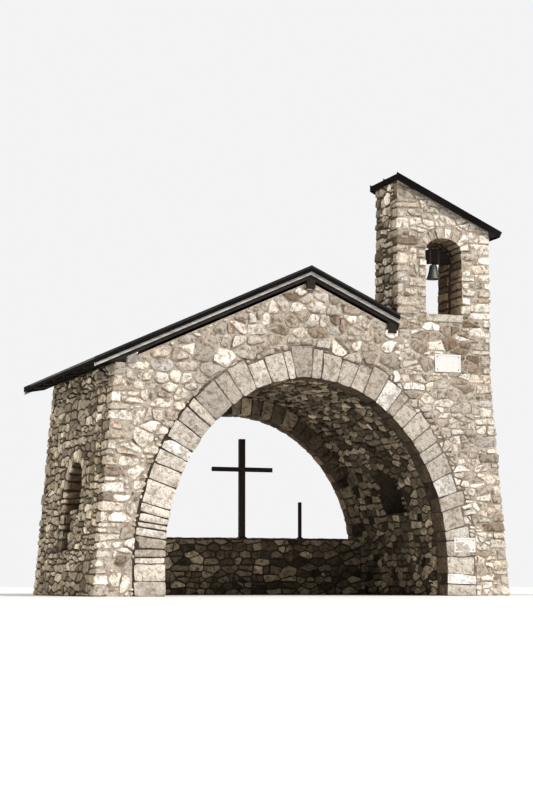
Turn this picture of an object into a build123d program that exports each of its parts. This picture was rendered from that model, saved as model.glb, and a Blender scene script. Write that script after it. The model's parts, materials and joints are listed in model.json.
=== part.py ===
from build123d import *
import math
import os

os.makedirs("parts", exist_ok=True)

# Millimetres. X runs along the front, Y from the front to the back, Z up from the lowest footing.

# Plan
depth = 3700              # front face to back face
front_thickness = 900     # front wall, as thick as the bell gable that stands on it
back_thickness = 500
side_wall = 780           # side wall at its top, measured from the springing of the vault
foot_flare = 300          # how far each side wall leans out between its top and z = 0

# Vault and its two arches, half ellipses on straight legs
vault_half_span = 2330
vault_rise = 2860
vault_spring = 500
vault_thickness = 450
front_ring = 500
back_inset = 80           # the back arch is narrower than the vault, and lower
back_drop = 290
back_spring = 600
back_ring = 350
haunch_above = 1950       # from the springing to where the vault crown sits on the side walls
threshold_height = 950    # wall under the back opening, its top is the ground level there

# Roof
ridge_cover = 1700        # from the crown of the vault to the top of the sheet at the ridge
pitch = 24.5
eave_overhang = 340
front_overhang = 90
back_overhang = 750
sheet = 6                 # folded metal sheet, made thicker than the real one
seam_height = 28
seam_width = 14
seam_spacing = 530
board = 30
rafter_height = 120
rafter_width = 80
rafter_count = 8
rafter_tail = 45          # depth of a rafter at the eave, it tapers from the wall outwards
wall_gap = 45             # open slot between the rafters and the top of a gable wall
purlin_width = 140
purlin_height = 160
purlin_reach = 60         # purlin ends stand out of the front face
purlin_pocket = 500       # the left mid purlin ends this far behind the front face
purlin_aside = 50         # from the right mid purlin to the bell gable
plate_height = 120        # purlins that lie on the side walls
plate_inset = 240         # from the outer face of a side wall to the middle of its plate
bargeboard = 30
bargeboard_height = 105
sheet_reach = 25          # the sheets hang over the faces of the bargeboards
cap_width = 170

# Side windows
window_width = 900
window_sill = 1350
window_jamb = 300         # from the sill to the springing of the round head
window_centre = 1700      # behind the front face
infill_foot = 700         # walled-up lower part of the window, set back from the face
infill_depth = 100

# Bell gable
bell_gable_width = 1610
bell_gable_above = 60     # from the crown of the front arch ring to the level where the bell gable starts
bell_gable_thin = 120     # how much thinner it is at the top, its back face leans
sill_under_ridge = 610    # from the ridge down to the sill of the bell opening
opening_width = 640
opening_jamb = 1030       # from the sill to the springing
opening_rise = 200
opening_cover = 890       # from the crown of the opening to the top of the masonry at the left face
sill_height = 110
sill_reach = 20
bell_roof_board = 50
bell_roof_skirt = 85
bell_roof_left = 40       # overhangs of the bell gable's roof
bell_roof_right = 170
bell_roof_back = 190

# Bell and its hanging
axle_drop = 110           # from the springing down to the pins
bell_radius = 112
bell_height = 235
bell_wall = 12
bell_hang = 16            # from the headstock to the top of the bell
headstock_height = 84
headstock_width = 96
headstock_rise = 150      # its back is arched over the ends
headstock_end = 36        # from the end of the headstock to the jamb
pin_radius = 12
pin_clearance = 0.3       # round the pin in its bearing
pin_end = 8               # from the end of the pin to the jamb
bearing_thickness = 24
bearing_size = 76
bearing_offset = 380      # behind the front face
clapper_radius = 19

# Cross, post and plaques
cross_width = 1090
cross_rise = 1690         # from the threshold to the top of the cross
cross_arm_drop = 520      # from the top of the cross to the middle of its arm
cross_section = 100
cross_depth = 80
cross_arm_section = 75
cross_x = 70
cross_inset = 70          # from the inner face of the back wall to the middle of the cross
post_section = 50
post_x = 1130
post_rise = 630
plaque_size = (450, 280)
plaque_right = 755        # from the right edge of the wall to the middle of the upper plaque
plaque_under_sill = 780
low_plaque_size = (370, 230)
low_plaque_right = 490
low_plaque_height = 795
plaque_thickness = 25
plaque_border = 24
plaque_recess = 4

seat = 0.3                # between curved masonry faces that meet

half_width = vault_half_span + side_wall
haunch = vault_spring + haunch_above
back_half_span = vault_half_span - back_inset
back_rise = vault_spring + vault_rise - back_drop - back_spring
ridge_height = vault_spring + vault_rise + ridge_cover
bell_gable_x = half_width - bell_gable_width
bell_gable_foot = vault_spring + vault_rise + front_ring + bell_gable_above
plate_x = half_width - plate_inset
mid_purlin_x = bell_gable_x - purlin_width / 2 - purlin_aside
window_spring = window_sill + window_jamb
opening_x = bell_gable_x + bell_gable_width / 2
opening_sill = ridge_height - sill_under_ridge
opening_spring = opening_sill + opening_jamb
bell_gable_top = opening_spring + opening_rise + opening_cover
bell_gable_head = front_thickness - bell_gable_thin
axle_height = opening_spring - axle_drop
cross_top = threshold_height + cross_rise
cross_arm_height = cross_top - cross_arm_drop
cross_offset = depth - back_thickness + cross_inset
post_top = threshold_height + post_rise

slope = math.tan(math.radians(pitch))
length = front_overhang + depth + back_overhang
front = -length / 2 + front_overhang
back = front + depth
verge_front = front - front_overhang
verge_back = back + back_overhang
inner_front = front + front_thickness
inner_back = back - back_thickness
half_roof = half_width + eave_overhang
board_front = verge_front + sheet_reach
board_back = verge_back - sheet_reach


def vertical(thickness):
    """Height that a layer of the sloping roof takes when it is measured plumb."""
    return thickness / math.cos(math.radians(pitch))


board_drop = vertical(sheet)
rafter_drop = vertical(sheet + board)
purlin_drop = vertical(sheet + board + rafter_height)
wall_drop = purlin_drop + wall_gap


def roof_height(x):
    return ridge_height - abs(x) * slope


wall_top = roof_height(plate_x) - purlin_drop - plate_height


def outer_face(z):
    """Distance from the axis to the leaning outer face of a side wall."""
    return half_width + foot_flare * max(0, 1 - z / wall_top)


def elevation(y):
    """Drawing plane across the building, X to the right and Z up."""
    return Plane(origin=(0, y, 0), x_dir=(1, 0, 0), z_dir=(0, -1, 0))


def run_back(outline, start, end):
    return extrude(elevation(start) * outline, amount=end - start, dir=(0, 1, 0))


def box_between(low, high):
    size = [b - a for a, b in zip(low, high)]
    return Pos(*low) * Box(*size, align=(Align.MIN, Align.MIN, Align.MIN))


def outline(*points):
    return Polygon(*points, align=None)


def arch_outline(half_span, rise, spring, foot=0):
    curve = EllipticalCenterArc((0, spring), half_span, rise, start_angle=0, arc_size=180)
    legs = Polyline((-half_span, spring), (-half_span, foot), (half_span, foot), (half_span, spring))
    return make_face([curve, legs])


def ring_outline(half_span, rise, spring, ring):
    outer = arch_outline(half_span + ring, rise + ring, spring)
    return outer - arch_outline(half_span, rise, spring)


def band(low, high):
    """Level strip, wider than the building."""
    half = 2 * half_roof
    return outline((-half, low), (half, low), (half, high), (-half, high))


def roof_band(start, end, top_drop, bottom_drop):
    """Outline of a sloping layer between two distances from the ridge, with plumb ends."""
    return outline(
        (start, roof_height(start) - top_drop),
        (end, roof_height(end) - top_drop),
        (end, roof_height(end) - bottom_drop),
        (start, roof_height(start) - bottom_drop),
    )


def mirrored(solid):
    return mirror(solid, about=Plane.YZ)


def side_outline(low, high, void):
    wall = outline((0, low), (outer_face(low), low), (outer_face(high), high), (0, high))
    return wall - void


# Front wall

def front_arch_ring():
    return run_back(ring_outline(vault_half_span, vault_rise, vault_spring, front_ring), front, inner_front)


def pier(ring_half_span, ring_rise, spring, start, end):
    void = arch_outline(ring_half_span + seat, ring_rise + seat, spring)
    return run_back(side_outline(0, haunch, void), start, end)


def front_pier():
    return pier(vault_half_span + front_ring, vault_rise + front_ring, vault_spring, front, inner_front)


def gable_outline(left, right):
    """Wall from the haunch level up to the slot under the rafters; above the wall tops it is narrower."""
    wall = side_outline(haunch, wall_top, band(-1, 0))
    gable = outline(
        (left, wall_top), (right, wall_top), (right, roof_height(right) - wall_drop),
        (0, ridge_height - wall_drop), (left, roof_height(left) - wall_drop),
    )
    return wall + mirror(wall, about=Plane.YZ) + gable


def gable_foot():
    """A gable wall ends against the wall plates."""
    return plate_x - purlin_width / 2


def gable_wall(left, right, ring_half_span, ring_rise, spring, start, end):
    void = arch_outline(ring_half_span + seat, ring_rise + seat, spring)
    wall = run_back(gable_outline(left, right) - void, start, end)
    return wall - purlin_pockets()


def front_gable_wall():
    wall = gable_wall(
        -gable_foot(), bell_gable_x, vault_half_span + front_ring, vault_rise + front_ring,
        vault_spring, front, inner_front,
    )
    under_bell_gable = box_between((bell_gable_x, front, wall_top), (half_width, inner_front, bell_gable_foot))
    return wall + under_bell_gable


# Side walls and vault

def window_outline():
    """Round-headed opening drawn on the side of the building, Y to the right and Z up."""
    radius = window_width / 2
    head = Pos(0, window_spring) * Circle(radius)
    body = Pos(0, (window_sill + window_spring) / 2) * Rectangle(window_width, window_spring - window_sill)
    return head + body


def window_cutter():
    side = Plane(origin=(0, front + window_centre, 0), x_dir=(0, 1, 0), z_dir=(1, 0, 0))
    return extrude(side * window_outline(), amount=2 * half_roof)


def vault_void(grow=0):
    return arch_outline(vault_half_span + grow, vault_rise + grow, vault_spring)


def wall_length(low, high, start, end):
    return run_back(side_outline(low, high, vault_void()), start, end)


def window_edge(side):
    return front + window_centre + side * window_width / 2


def side_wall_front():
    return wall_length(0, haunch, inner_front, window_edge(-1))


def side_wall_back():
    return wall_length(0, haunch, window_edge(1), inner_back)


def side_wall_breast():
    """Wall under the window; its upper part is set back from the face and slopes outwards."""
    wall = wall_length(0, window_sill, window_edge(-1), window_edge(1))
    face = outer_face(infill_foot)
    recess = outline(
        (face - infill_depth, infill_foot), (face + infill_depth, infill_foot),
        (face + infill_depth, window_sill), (outer_face(window_sill) - infill_depth, window_sill),
    )
    return wall - run_back(recess, window_edge(-1), window_edge(1))


def side_wall_head():
    """Wall over the window with the haunch that backs the vault, the whole length of the wall."""
    shoulder = run_back(side_outline(haunch, wall_top, vault_void(vault_thickness + seat)), inner_front, inner_back)
    bay = wall_length(window_spring, haunch, window_edge(-1), window_edge(1))
    return shoulder + bay - window_cutter()


def vault_crown():
    ring = ring_outline(vault_half_span, vault_rise, vault_spring, vault_thickness)
    return run_back(ring & band(haunch, 2 * haunch), inner_front, inner_back)


# Back wall

def back_arch_ring():
    return run_back(ring_outline(back_half_span, back_rise, back_spring, back_ring), inner_back, back)


def back_pier():
    return pier(back_half_span + back_ring, back_rise + back_ring, back_spring, inner_back, back)


def back_gable_wall():
    foot = gable_foot()
    return gable_wall(
        -foot, foot, back_half_span + back_ring, back_rise + back_ring, back_spring, inner_back, back,
    )


def back_threshold():
    inside = arch_outline(back_half_span - seat, back_rise - seat, back_spring)
    return run_back(inside & band(0, threshold_height), inner_back, back)


# Bell gable

def bell_gable_slope(x):
    return bell_gable_top - (x - bell_gable_x) * slope


def bell_gable_mass():
    """Whole masonry of the bell gable, with its leaning back face."""
    right = half_width
    wall = outline(
        (bell_gable_x, bell_gable_foot), (right, bell_gable_foot),
        (right, bell_gable_slope(right)), (bell_gable_x, bell_gable_top),
    )
    block = run_back(wall, front, inner_front)
    beyond = inner_front + front_thickness
    lean = Plane(origin=(0, 0, 0), x_dir=(0, 1, 0), z_dir=(1, 0, 0)) * outline(
        (inner_front, bell_gable_foot), (beyond, bell_gable_foot), (beyond, bell_gable_top),
        (front + bell_gable_head, bell_gable_top),
    )
    return block - extrude(lean, amount=2 * half_roof)


def bell_opening_outline():
    curve = EllipticalCenterArc(
        (opening_x, opening_spring), opening_width / 2, opening_rise, start_angle=0, arc_size=180)
    low = opening_sill - sill_height
    left = opening_x - opening_width / 2
    right = opening_x + opening_width / 2
    legs = Polyline((left, opening_spring), (left, low), (right, low), (right, opening_spring))
    return make_face([curve, legs])


def bell_gable_slice(low, high):
    return bell_gable_mass() & box_between((0, 2 * front, low), (half_roof, 0, high))


def bell_gable_base():
    return bell_gable_slice(bell_gable_foot, opening_sill - sill_height)


def bell_gable_jamb(side):
    jamb = bell_gable_slice(opening_sill - sill_height, opening_spring)
    edge = opening_x + side * opening_width / 2
    low, high = (0, edge) if side < 0 else (edge, half_roof)
    return jamb & box_between((low, 2 * front, bell_gable_foot), (high, 0, bell_gable_top))


def bell_gable_head_wall():
    head = bell_gable_slice(opening_spring, bell_gable_top)
    return head - run_back(bell_opening_outline(), front, inner_front)


def bell_gable_sill():
    lean = bell_gable_thin / (bell_gable_top - bell_gable_foot)
    back_edge = inner_front - lean * (opening_sill - bell_gable_foot)
    half = opening_width / 2
    return box_between(
        (opening_x - half, front - sill_reach, opening_sill - sill_height),
        (opening_x + half, back_edge, opening_sill),
    )


def bell_roof_outline(left, right, rise_low, rise_high):
    """Outline of a sloping layer that ends plumb at the left and square at the right."""
    lean = math.sin(math.radians(pitch)) * math.cos(math.radians(pitch))
    low_end = right + rise_low * lean
    high_end = right + rise_high * lean
    return outline(
        (left, bell_gable_slope(left) + rise_low), (low_end, bell_gable_slope(low_end) + rise_low),
        (high_end, bell_gable_slope(high_end) + rise_high), (left, bell_gable_slope(left) + rise_high),
    )


def bell_roof_ends():
    return bell_gable_x - bell_roof_left, half_width + bell_roof_right


def bell_roof_boards():
    left, right = bell_roof_ends()
    boards = bell_roof_outline(left + sheet, right - sheet, 0, vertical(bell_roof_board))
    return run_back(boards, verge_front + sheet, front + bell_gable_head + bell_roof_back - sheet)


def bell_roof_sheet():
    """Folded sheet over the boards, its skirt turned down on all sides."""
    start = verge_front
    end = front + bell_gable_head + bell_roof_back
    left, right = bell_roof_ends()
    rise = vertical(bell_roof_board + sheet)
    drop = rise - bell_roof_skirt
    over_wall = vertical(bell_roof_board)
    block = run_back(bell_roof_outline(left, right, drop, rise), start, end)
    hollow = run_back(
        bell_roof_outline(left + sheet, right - sheet, drop - sheet, over_wall), start + sheet, end - sheet)
    seams = [
        run_back(bell_roof_outline(left, right, rise, rise + seam_height), y, y + seam_width)
        for y in seam_positions(start, end, 2)
    ]
    return block - hollow + seams


# Main roof

def seam_positions(start, end, count):
    gap = (end - start - seam_width) / count
    return [start + i * gap for i in range(count + 1)]


def purlin(x, height):
    """Sloping-topped timber along the building under the rafters, right-hand side."""
    low = roof_height(x) - purlin_drop - height
    half = purlin_width / 2
    section = outline(
        (x - half, low), (x + half, low),
        (x + half, roof_height(x + half) - purlin_drop), (x - half, roof_height(x - half) - purlin_drop),
    )
    return section


def ridge_purlin_section():
    half = purlin_width / 2
    low = ridge_height - purlin_drop - purlin_height
    top = roof_height(half) - purlin_drop
    return outline((-half, low), (half, low), (half, top), (0, ridge_height - purlin_drop), (-half, top))


def purlin_start():
    return front - purlin_reach


def purlin_end():
    return board_back - bargeboard


def ridge_purlin():
    return run_back(ridge_purlin_section(), purlin_start(), purlin_end())


def mid_purlin(start):
    return run_back(purlin(mid_purlin_x, purlin_height), start, purlin_end())


def left_mid_purlin():
    return mirrored(mid_purlin(front + purlin_pocket))


def wall_plate(start):
    return run_back(purlin(plate_x, plate_height), start, purlin_end())


def purlin_pockets():
    plate = wall_plate(purlin_start())
    return [ridge_purlin(), mid_purlin(purlin_start()), left_mid_purlin(), plate, mirrored(plate)]


def bell_gable_room():
    """Space that the roof leaves round the bell gable."""
    return box_between((bell_gable_x, verge_front, 0), (half_roof, inner_front, bell_gable_top))


def rafter_lines():
    first = board_front + bargeboard
    gap = (board_back - bargeboard - rafter_width - first) / (rafter_count - 1)
    return [first + i * gap for i in range(rafter_count)]


def rafters():
    end = half_roof - board
    tail = roof_height(end) - rafter_drop
    half = outline(
        (0, ridge_height - rafter_drop), (end, tail), (end, tail - rafter_tail),
        (half_width, roof_height(half_width) - purlin_drop), (0, ridge_height - purlin_drop),
    )
    return [run_back(half, y, y + rafter_width) for y in rafter_lines()]


def board_layer():
    half = roof_band(0, half_roof - sheet, board_drop, rafter_drop)
    return run_back(half, board_front + bargeboard, board_back - bargeboard)


def sheet_layer():
    skin = run_back(roof_band(0, half_roof, 0, board_drop), verge_front, verge_back)
    count = round((verge_back - verge_front) / seam_spacing)
    seam = roof_band(cap_width, half_roof, -vertical(seam_height), 0)
    return skin + [run_back(seam, y, y + seam_width) for y in seam_positions(verge_front, verge_back, count)]


def cut_short(layer):
    """Right-hand layers stop at the bell gable."""
    return layer - bell_gable_room()


def ridge_cap():
    """Cap over both slopes, as high as the seams that stop against its edges."""
    top = vertical(seam_height)
    half = cap_width - seat
    edge = roof_height(half)
    peak = ridge_height
    return run_back(outline(
        (0, peak + top), (half, edge + top), (half, edge), (0, peak), (-half, edge), (-half, edge + top),
    ), verge_front, verge_back)


def bargeboard_half(start):
    half = roof_band(0, half_roof - sheet, board_drop, board_drop + bargeboard_height)
    return run_back(half, start, start + bargeboard)


# Bell

def bell_axle():
    return Pos(opening_x, front + bearing_offset, axle_height)


def lengthwise(radius, start, end):
    """Round bar along X between two distances from the middle of the opening."""
    bar = Cylinder(radius, end - start, align=(Align.CENTER, Align.CENTER, Align.MIN))
    return bell_axle() * Pos(start, 0, 0) * Rot(0, 90, 0) * bar


def bearing():
    """Iron block on the right jamb with the bore for the pin."""
    half = opening_width / 2
    block = bell_axle() * Pos(half - bearing_thickness / 2, 0, 0) * Box(
        bearing_thickness, bearing_size, bearing_size)
    block = fillet(block.edges().filter_by(Axis.X), bearing_size / 5)
    return block - lengthwise(pin_radius + pin_clearance, half - bearing_thickness, half)


def headstock():
    half = opening_width / 2
    end = headstock_height / 2
    profile = arch_outline(half - headstock_end, headstock_rise, end, -end)
    beam = bell_axle() * run_back(profile, -headstock_width / 2, headstock_width / 2)
    beam = chamfer(beam.edges().filter_by(Axis.X), headstock_height / 8)
    return beam + lengthwise(pin_radius, -half + pin_end, half - pin_end)


def bell_crown():
    return -headstock_height / 2


def bell():
    """Bell with its flared lip, its canon loop let into the underside of the headstock."""
    top = bell_crown() - bell_hang
    lip = top - bell_height
    r = bell_radius
    with BuildSketch(Plane.XZ) as half:
        with BuildLine():
            outer = Spline(
                (r, lip), (r * 0.86, lip + bell_height * 0.2), (r * 0.66, lip + bell_height * 0.55),
                (r * 0.56, lip + bell_height * 0.86),
            )
            shoulder = Spline(outer @ 1, (r * 0.42, top - 4), (0, top), tangents=(outer % 1, (-1, 0)))
            inner_top = top - bell_wall
            inside = Spline(
                (0, inner_top), (r * 0.38, inner_top - 8), (r * 0.56 - bell_wall, lip + bell_height * 0.82),
                (r * 0.66 - bell_wall, lip + bell_height * 0.55), (r * 0.86 - 1.3 * bell_wall, lip + bell_height * 0.2),
                (r - bell_wall, lip),
            )
            Line(shoulder @ 1, inside @ 0)
            Line(inside @ 1, outer @ 0)
        make_face()
    body = revolve(half.sketch, axis=Axis.Z)
    stem = Pos(0, 0, top - 6) * Box(34, 24, bell_crown() - top + 6, align=(Align.CENTER, Align.CENTER, Align.MIN))
    return bell_axle() * (body + stem)


def clapper():
    top = bell_crown() - bell_hang - bell_wall
    lip = bell_crown() - bell_hang - bell_height
    rod_foot = lip + 20
    rod = Pos(0, 0, rod_foot) * Cylinder(6, top - rod_foot, align=(Align.CENTER, Align.CENTER, Align.MIN))
    ball = Pos(0, 0, rod_foot) * Sphere(clapper_radius)
    return bell_axle() * (rod + ball)


# Plaques, cross and post

def plaque(centre_x, centre_z, size):
    width, height = size
    slab = box_between(
        (centre_x - width / 2, front - plaque_thickness, centre_z - height / 2),
        (centre_x + width / 2, front, centre_z + height / 2),
    )
    field = box_between(
        (centre_x - width / 2 + plaque_border, front - plaque_thickness, centre_z - height / 2 + plaque_border),
        (centre_x + width / 2 - plaque_border, front - plaque_thickness + plaque_recess,
         centre_z + height / 2 - plaque_border),
    )
    return slab - field


def cross_arm():
    centre = front + cross_offset
    return box_between(
        (cross_x - cross_width / 2, centre - cross_depth / 2, cross_arm_height - cross_arm_section / 2),
        (cross_x + cross_width / 2, centre, cross_arm_height + cross_arm_section / 2),
    )


def cross_post():
    """Upright of the cross, halved behind the arm."""
    centre = front + cross_offset
    upright = box_between(
        (cross_x - cross_section / 2, centre - cross_depth / 2, threshold_height),
        (cross_x + cross_section / 2, centre + cross_depth / 2, cross_top),
    )
    return upright - cross_arm()


def slim_post():
    centre = front + cross_offset
    return box_between(
        (post_x - post_section / 2, centre - post_section / 2, threshold_height),
        (post_x + post_section / 2, centre + post_section / 2, post_top),
    )


nodes = {
    "front_arch_ring": front_arch_ring(),
    "front_pier_left": mirrored(front_pier()),
    "front_pier_right": front_pier(),
    "front_gable_wall": front_gable_wall(),
    "left_wall_front": mirrored(side_wall_front()),
    "left_wall_back": mirrored(side_wall_back()),
    "left_wall_breast": mirrored(side_wall_breast()),
    "left_wall_head": mirrored(side_wall_head()),
    "right_wall_front": side_wall_front(),
    "right_wall_back": side_wall_back(),
    "right_wall_breast": side_wall_breast(),
    "right_wall_head": side_wall_head(),
    "vault_crown": vault_crown(),
    "back_arch_ring": back_arch_ring(),
    "back_pier_left": mirrored(back_pier()),
    "back_pier_right": back_pier(),
    "back_gable_wall": back_gable_wall(),
    "back_threshold": back_threshold(),
    "bell_gable_base": bell_gable_base(),
    "bell_gable_jamb_left": bell_gable_jamb(-1),
    "bell_gable_jamb_right": bell_gable_jamb(1),
    "bell_gable_head": bell_gable_head_wall(),
    "bell_gable_sill": bell_gable_sill(),
    "bell_roof_boards": bell_roof_boards(),
    "bell_roof_sheet": bell_roof_sheet(),
    "ridge_purlin": ridge_purlin(),
    "left_mid_purlin": left_mid_purlin(),
    "right_mid_purlin": mid_purlin(purlin_start()),
    "left_wall_plate": mirrored(wall_plate(purlin_start())),
    "right_wall_plate": wall_plate(inner_front),
    "left_rafters": Compound([mirrored(rafter) for rafter in rafters()]),
    "right_rafters": Compound([cut_short(rafter) for rafter in rafters()]),
    "left_boards": mirrored(board_layer()),
    "right_boards": cut_short(board_layer()),
    "left_sheet": mirrored(sheet_layer()),
    "right_sheet": cut_short(sheet_layer()),
    "ridge_cap": ridge_cap(),
    "front_bargeboard_left": mirrored(bargeboard_half(board_front)),
    "front_bargeboard_right": cut_short(bargeboard_half(board_front)),
    "back_bargeboard_left": mirrored(bargeboard_half(board_back - bargeboard)),
    "back_bargeboard_right": bargeboard_half(board_back - bargeboard),
    "upper_plaque": plaque(half_width - plaque_right, opening_sill - plaque_under_sill, plaque_size),
    "lower_plaque": plaque(half_width - low_plaque_right, low_plaque_height, low_plaque_size),
    "cross_post": cross_post(),
    "cross_arm": cross_arm(),
    "slim_post": slim_post(),
    "bearing_right": bearing(),
    "bearing_left": mirror(bearing(), about=Plane.YZ.offset(opening_x)),
    "headstock": headstock(),
    "bell": bell(),
    "clapper": clapper(),
}

for name, shape in nodes.items():
    export_step(shape, f"parts/{name}.step")
    print(name, len(shape.solids()), round(shape.volume / 1e9, 4))
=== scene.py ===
import bisect
import bmesh
import bpy
import itertools
import json
import math
import random
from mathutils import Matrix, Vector, noise


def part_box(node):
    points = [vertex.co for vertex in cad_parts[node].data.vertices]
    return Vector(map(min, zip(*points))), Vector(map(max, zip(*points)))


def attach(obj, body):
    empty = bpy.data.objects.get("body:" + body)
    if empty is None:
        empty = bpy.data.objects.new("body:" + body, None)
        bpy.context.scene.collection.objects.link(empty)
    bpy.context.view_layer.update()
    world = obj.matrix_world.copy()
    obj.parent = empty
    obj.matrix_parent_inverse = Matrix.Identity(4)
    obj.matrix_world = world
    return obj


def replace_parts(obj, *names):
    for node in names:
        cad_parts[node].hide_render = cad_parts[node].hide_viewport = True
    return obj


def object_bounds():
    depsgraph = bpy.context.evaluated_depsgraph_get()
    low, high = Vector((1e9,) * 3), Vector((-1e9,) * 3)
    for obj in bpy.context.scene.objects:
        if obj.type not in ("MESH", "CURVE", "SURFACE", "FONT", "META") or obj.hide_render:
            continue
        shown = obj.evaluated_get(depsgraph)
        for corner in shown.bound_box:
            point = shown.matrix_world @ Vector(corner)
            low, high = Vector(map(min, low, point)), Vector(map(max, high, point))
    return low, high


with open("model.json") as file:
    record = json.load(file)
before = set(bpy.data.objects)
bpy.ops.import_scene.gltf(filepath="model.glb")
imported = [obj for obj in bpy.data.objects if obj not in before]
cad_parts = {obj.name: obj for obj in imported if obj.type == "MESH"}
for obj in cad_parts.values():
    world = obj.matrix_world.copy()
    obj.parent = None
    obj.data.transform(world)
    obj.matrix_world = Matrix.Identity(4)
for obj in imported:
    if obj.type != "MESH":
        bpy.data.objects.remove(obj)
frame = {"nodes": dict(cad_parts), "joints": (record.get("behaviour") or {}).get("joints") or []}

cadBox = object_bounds()
noise.seed_set(7)                # every run lays the same stones

# the building's own measures in metres, the same as the solids have
chapel = {
    "halfWidth": 3.11,       # side walls at their top
    "footFlare": 0.3,        # how far they lean out at the foot
    "vaultArch": (2.33, 2.86, 0.5),      # half span, rise, height of the springing
    "backArch": (2.25, 2.47, 0.6),
    "frontWall": 0.9,
    "backWall": 0.5,
    "threshold": 0.95,
    "ridge": 5.06,
    "pitch": math.radians(24.5),
    "bellWallX": 1.5,
    "bellWallFoot": 3.92,
    "bellWallTop": 6.57,
    "bellWallThin": 0.12,    # how much thinner it is at the top
    "openingX": 2.305,
    "openingWidth": 0.64,
    "openingSill": 4.45,
    "openingSpring": 5.48,
    "openingRise": 0.2,
    "windowMiddle": 1.7,     # behind the front face
    "windowWidth": 0.9,
    "windowSill": 1.35,
    "windowSpring": 1.65,
    "infillFoot": 0.7,
    "infillDepth": 0.1,
}

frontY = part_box("front_arch_ring")[0].y
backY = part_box("back_arch_ring")[1].y
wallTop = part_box("left_wall_head")[1].z
innerFront = frontY + chapel["frontWall"]
innerBack = backY - chapel["backWall"]
slope = math.tan(chapel["pitch"])
halfWidth, threshold = chapel["halfWidth"], chapel["threshold"]
bellX, bellTop = chapel["bellWallX"], chapel["bellWallTop"]
openingX, openingHalf = chapel["openingX"], chapel["openingWidth"] / 2
windowY, windowHalf = frontY + chapel["windowMiddle"], chapel["windowWidth"] / 2
print("frame: front", round(frontY, 3), "back", round(backY, 3), "wall top", round(wallTop, 3))


def wallFace(z):
    return halfWidth + chapel["footFlare"] * max(0.0, 1 - z / wallTop)


def roofTop(x):
    return chapel["ridge"] - abs(x) * slope


def bellWallSlope(x):
    return bellTop - (x - bellX) * slope


def bellWallBack(z):
    rise = bellTop - chapel["bellWallFoot"]
    return innerFront - chapel["bellWallThin"] * max(0.0, (z - chapel["bellWallFoot"]) / rise)


def addObject(name, data):
    thing = bpy.data.objects.new(name, data)
    bpy.context.scene.collection.objects.link(thing)
    return thing


# nodes: sets or links the inputs of one; i0, i1 and so on go by place and the others by name
def feed(tree, node, values):
    for key, value in values.items():
        socket = node.inputs[int(key[1:]) if key[1:].isdigit() else key.replace("_", " ")]
        if hasattr(value, "is_output"):
            tree.links.new(value, socket)
        else:
            socket.default_value = (*value, 1) if socket.type == "RGBA" and len(value) == 3 else value
    return node


def addNode(tree, kind, settings=None, **values):
    node = tree.nodes.new("ShaderNode" + kind)
    for key, value in (settings or {}).items():
        setattr(node, key, value)
    return feed(tree, node, values)


def noiseValue(tree, vector, scale, detail=4.0, roughness=0.6, distortion=0.0):
    return addNode(tree, "TexNoise", Vector=vector, Scale=scale, Detail=detail, Roughness=roughness,
                   Distortion=distortion).outputs["Fac"]


def remap(tree, value, low, high, toLow=0.0, toHigh=1.0):
    node = addNode(tree, "MapRange", {"clamp": True}, i0=value, i1=low, i2=high, i3=toLow, i4=toHigh)
    return node.outputs[0]


def maths(tree, operation, first, second=0.5):
    return addNode(tree, "Math", {"operation": operation}, i0=first, i1=second).outputs[0]


def times(tree, value, *factors):
    for factor in factors:
        value = maths(tree, "MULTIPLY", value, factor)
    return value


def plus(tree, value, *others):
    for other in others:
        value = maths(tree, "ADD", value, other)
    return value


def mixColour(tree, amount, first, second, blend="MIX"):
    settings = {"data_type": "RGBA", "blend_type": blend}
    return addNode(tree, "Mix", settings, i0=amount, i6=first, i7=second).outputs[2]


def tinted(tree, colour, tint):
    return mixColour(tree, 1.0, colour, tint, "MULTIPLY")


def colourRamp(tree, value, stops):
    node = addNode(tree, "ValToRGB", i0=value)
    elements = node.color_ramp.elements
    while len(elements) < len(stops):
        elements.new(0.5)
    for element, (place, colour) in zip(elements, stops):
        element.position = place
        element.color = (*colour, 1)
    return node.outputs[0]


# camera, light and floor
view = {
    "turn": math.radians(20.7),   # from the left of the front
    "distance": 30.0,
    "cameraHeight": 0.2,
    "aim": Vector((0.07, -0.1, 3.2)),
    "pixelsPerMetre": 61.0,       # in a picture 533 pixels wide
    "pictureWidth": 533,
    "sensor": 36.0,
    "farthest": 300,
}


def setCamera():
    data = bpy.data.cameras.new("photoCamera")
    camera = addObject("photoCamera", data)
    aim, turn, distance = view["aim"], view["turn"], view["distance"]
    camera.location = (aim.x - math.sin(turn) * distance, aim.y - math.cos(turn) * distance,
                       view["cameraHeight"])
    camera.rotation_euler = (aim - camera.location).to_track_quat("-Z", "Y").to_euler()
    data.sensor_fit = "HORIZONTAL"
    data.sensor_width = view["sensor"]
    data.lens = view["pixelsPerMetre"] * distance / view["pictureWidth"] * view["sensor"]
    data.clip_end = view["farthest"]
    bpy.context.scene.camera = camera


light = {
    "worldStrength": 0.34,
    "worldColour": (1.0, 0.995, 0.985),
    "background": (0.9, 0.9, 0.91),
    "floorColour": (0.78, 0.775, 0.765),
    "floorRadius": 60,
    "floorRoughness": 0.9,
    # strength, the way it comes from, softness in degrees, colour
    "lamps": {
        "keyLamp": (2.75, (0.5, -1.0, 1.15), 7, (1.0, 0.985, 0.96)),
        "sideLamp": (1.15, (-1.0, -0.22, 1.15), 9, (1.0, 0.98, 0.94)),
        "fillLamp": (0.4, (0.5, 1.0, 0.9), 40, (0.94, 0.97, 1.0)),
    },
}


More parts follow.
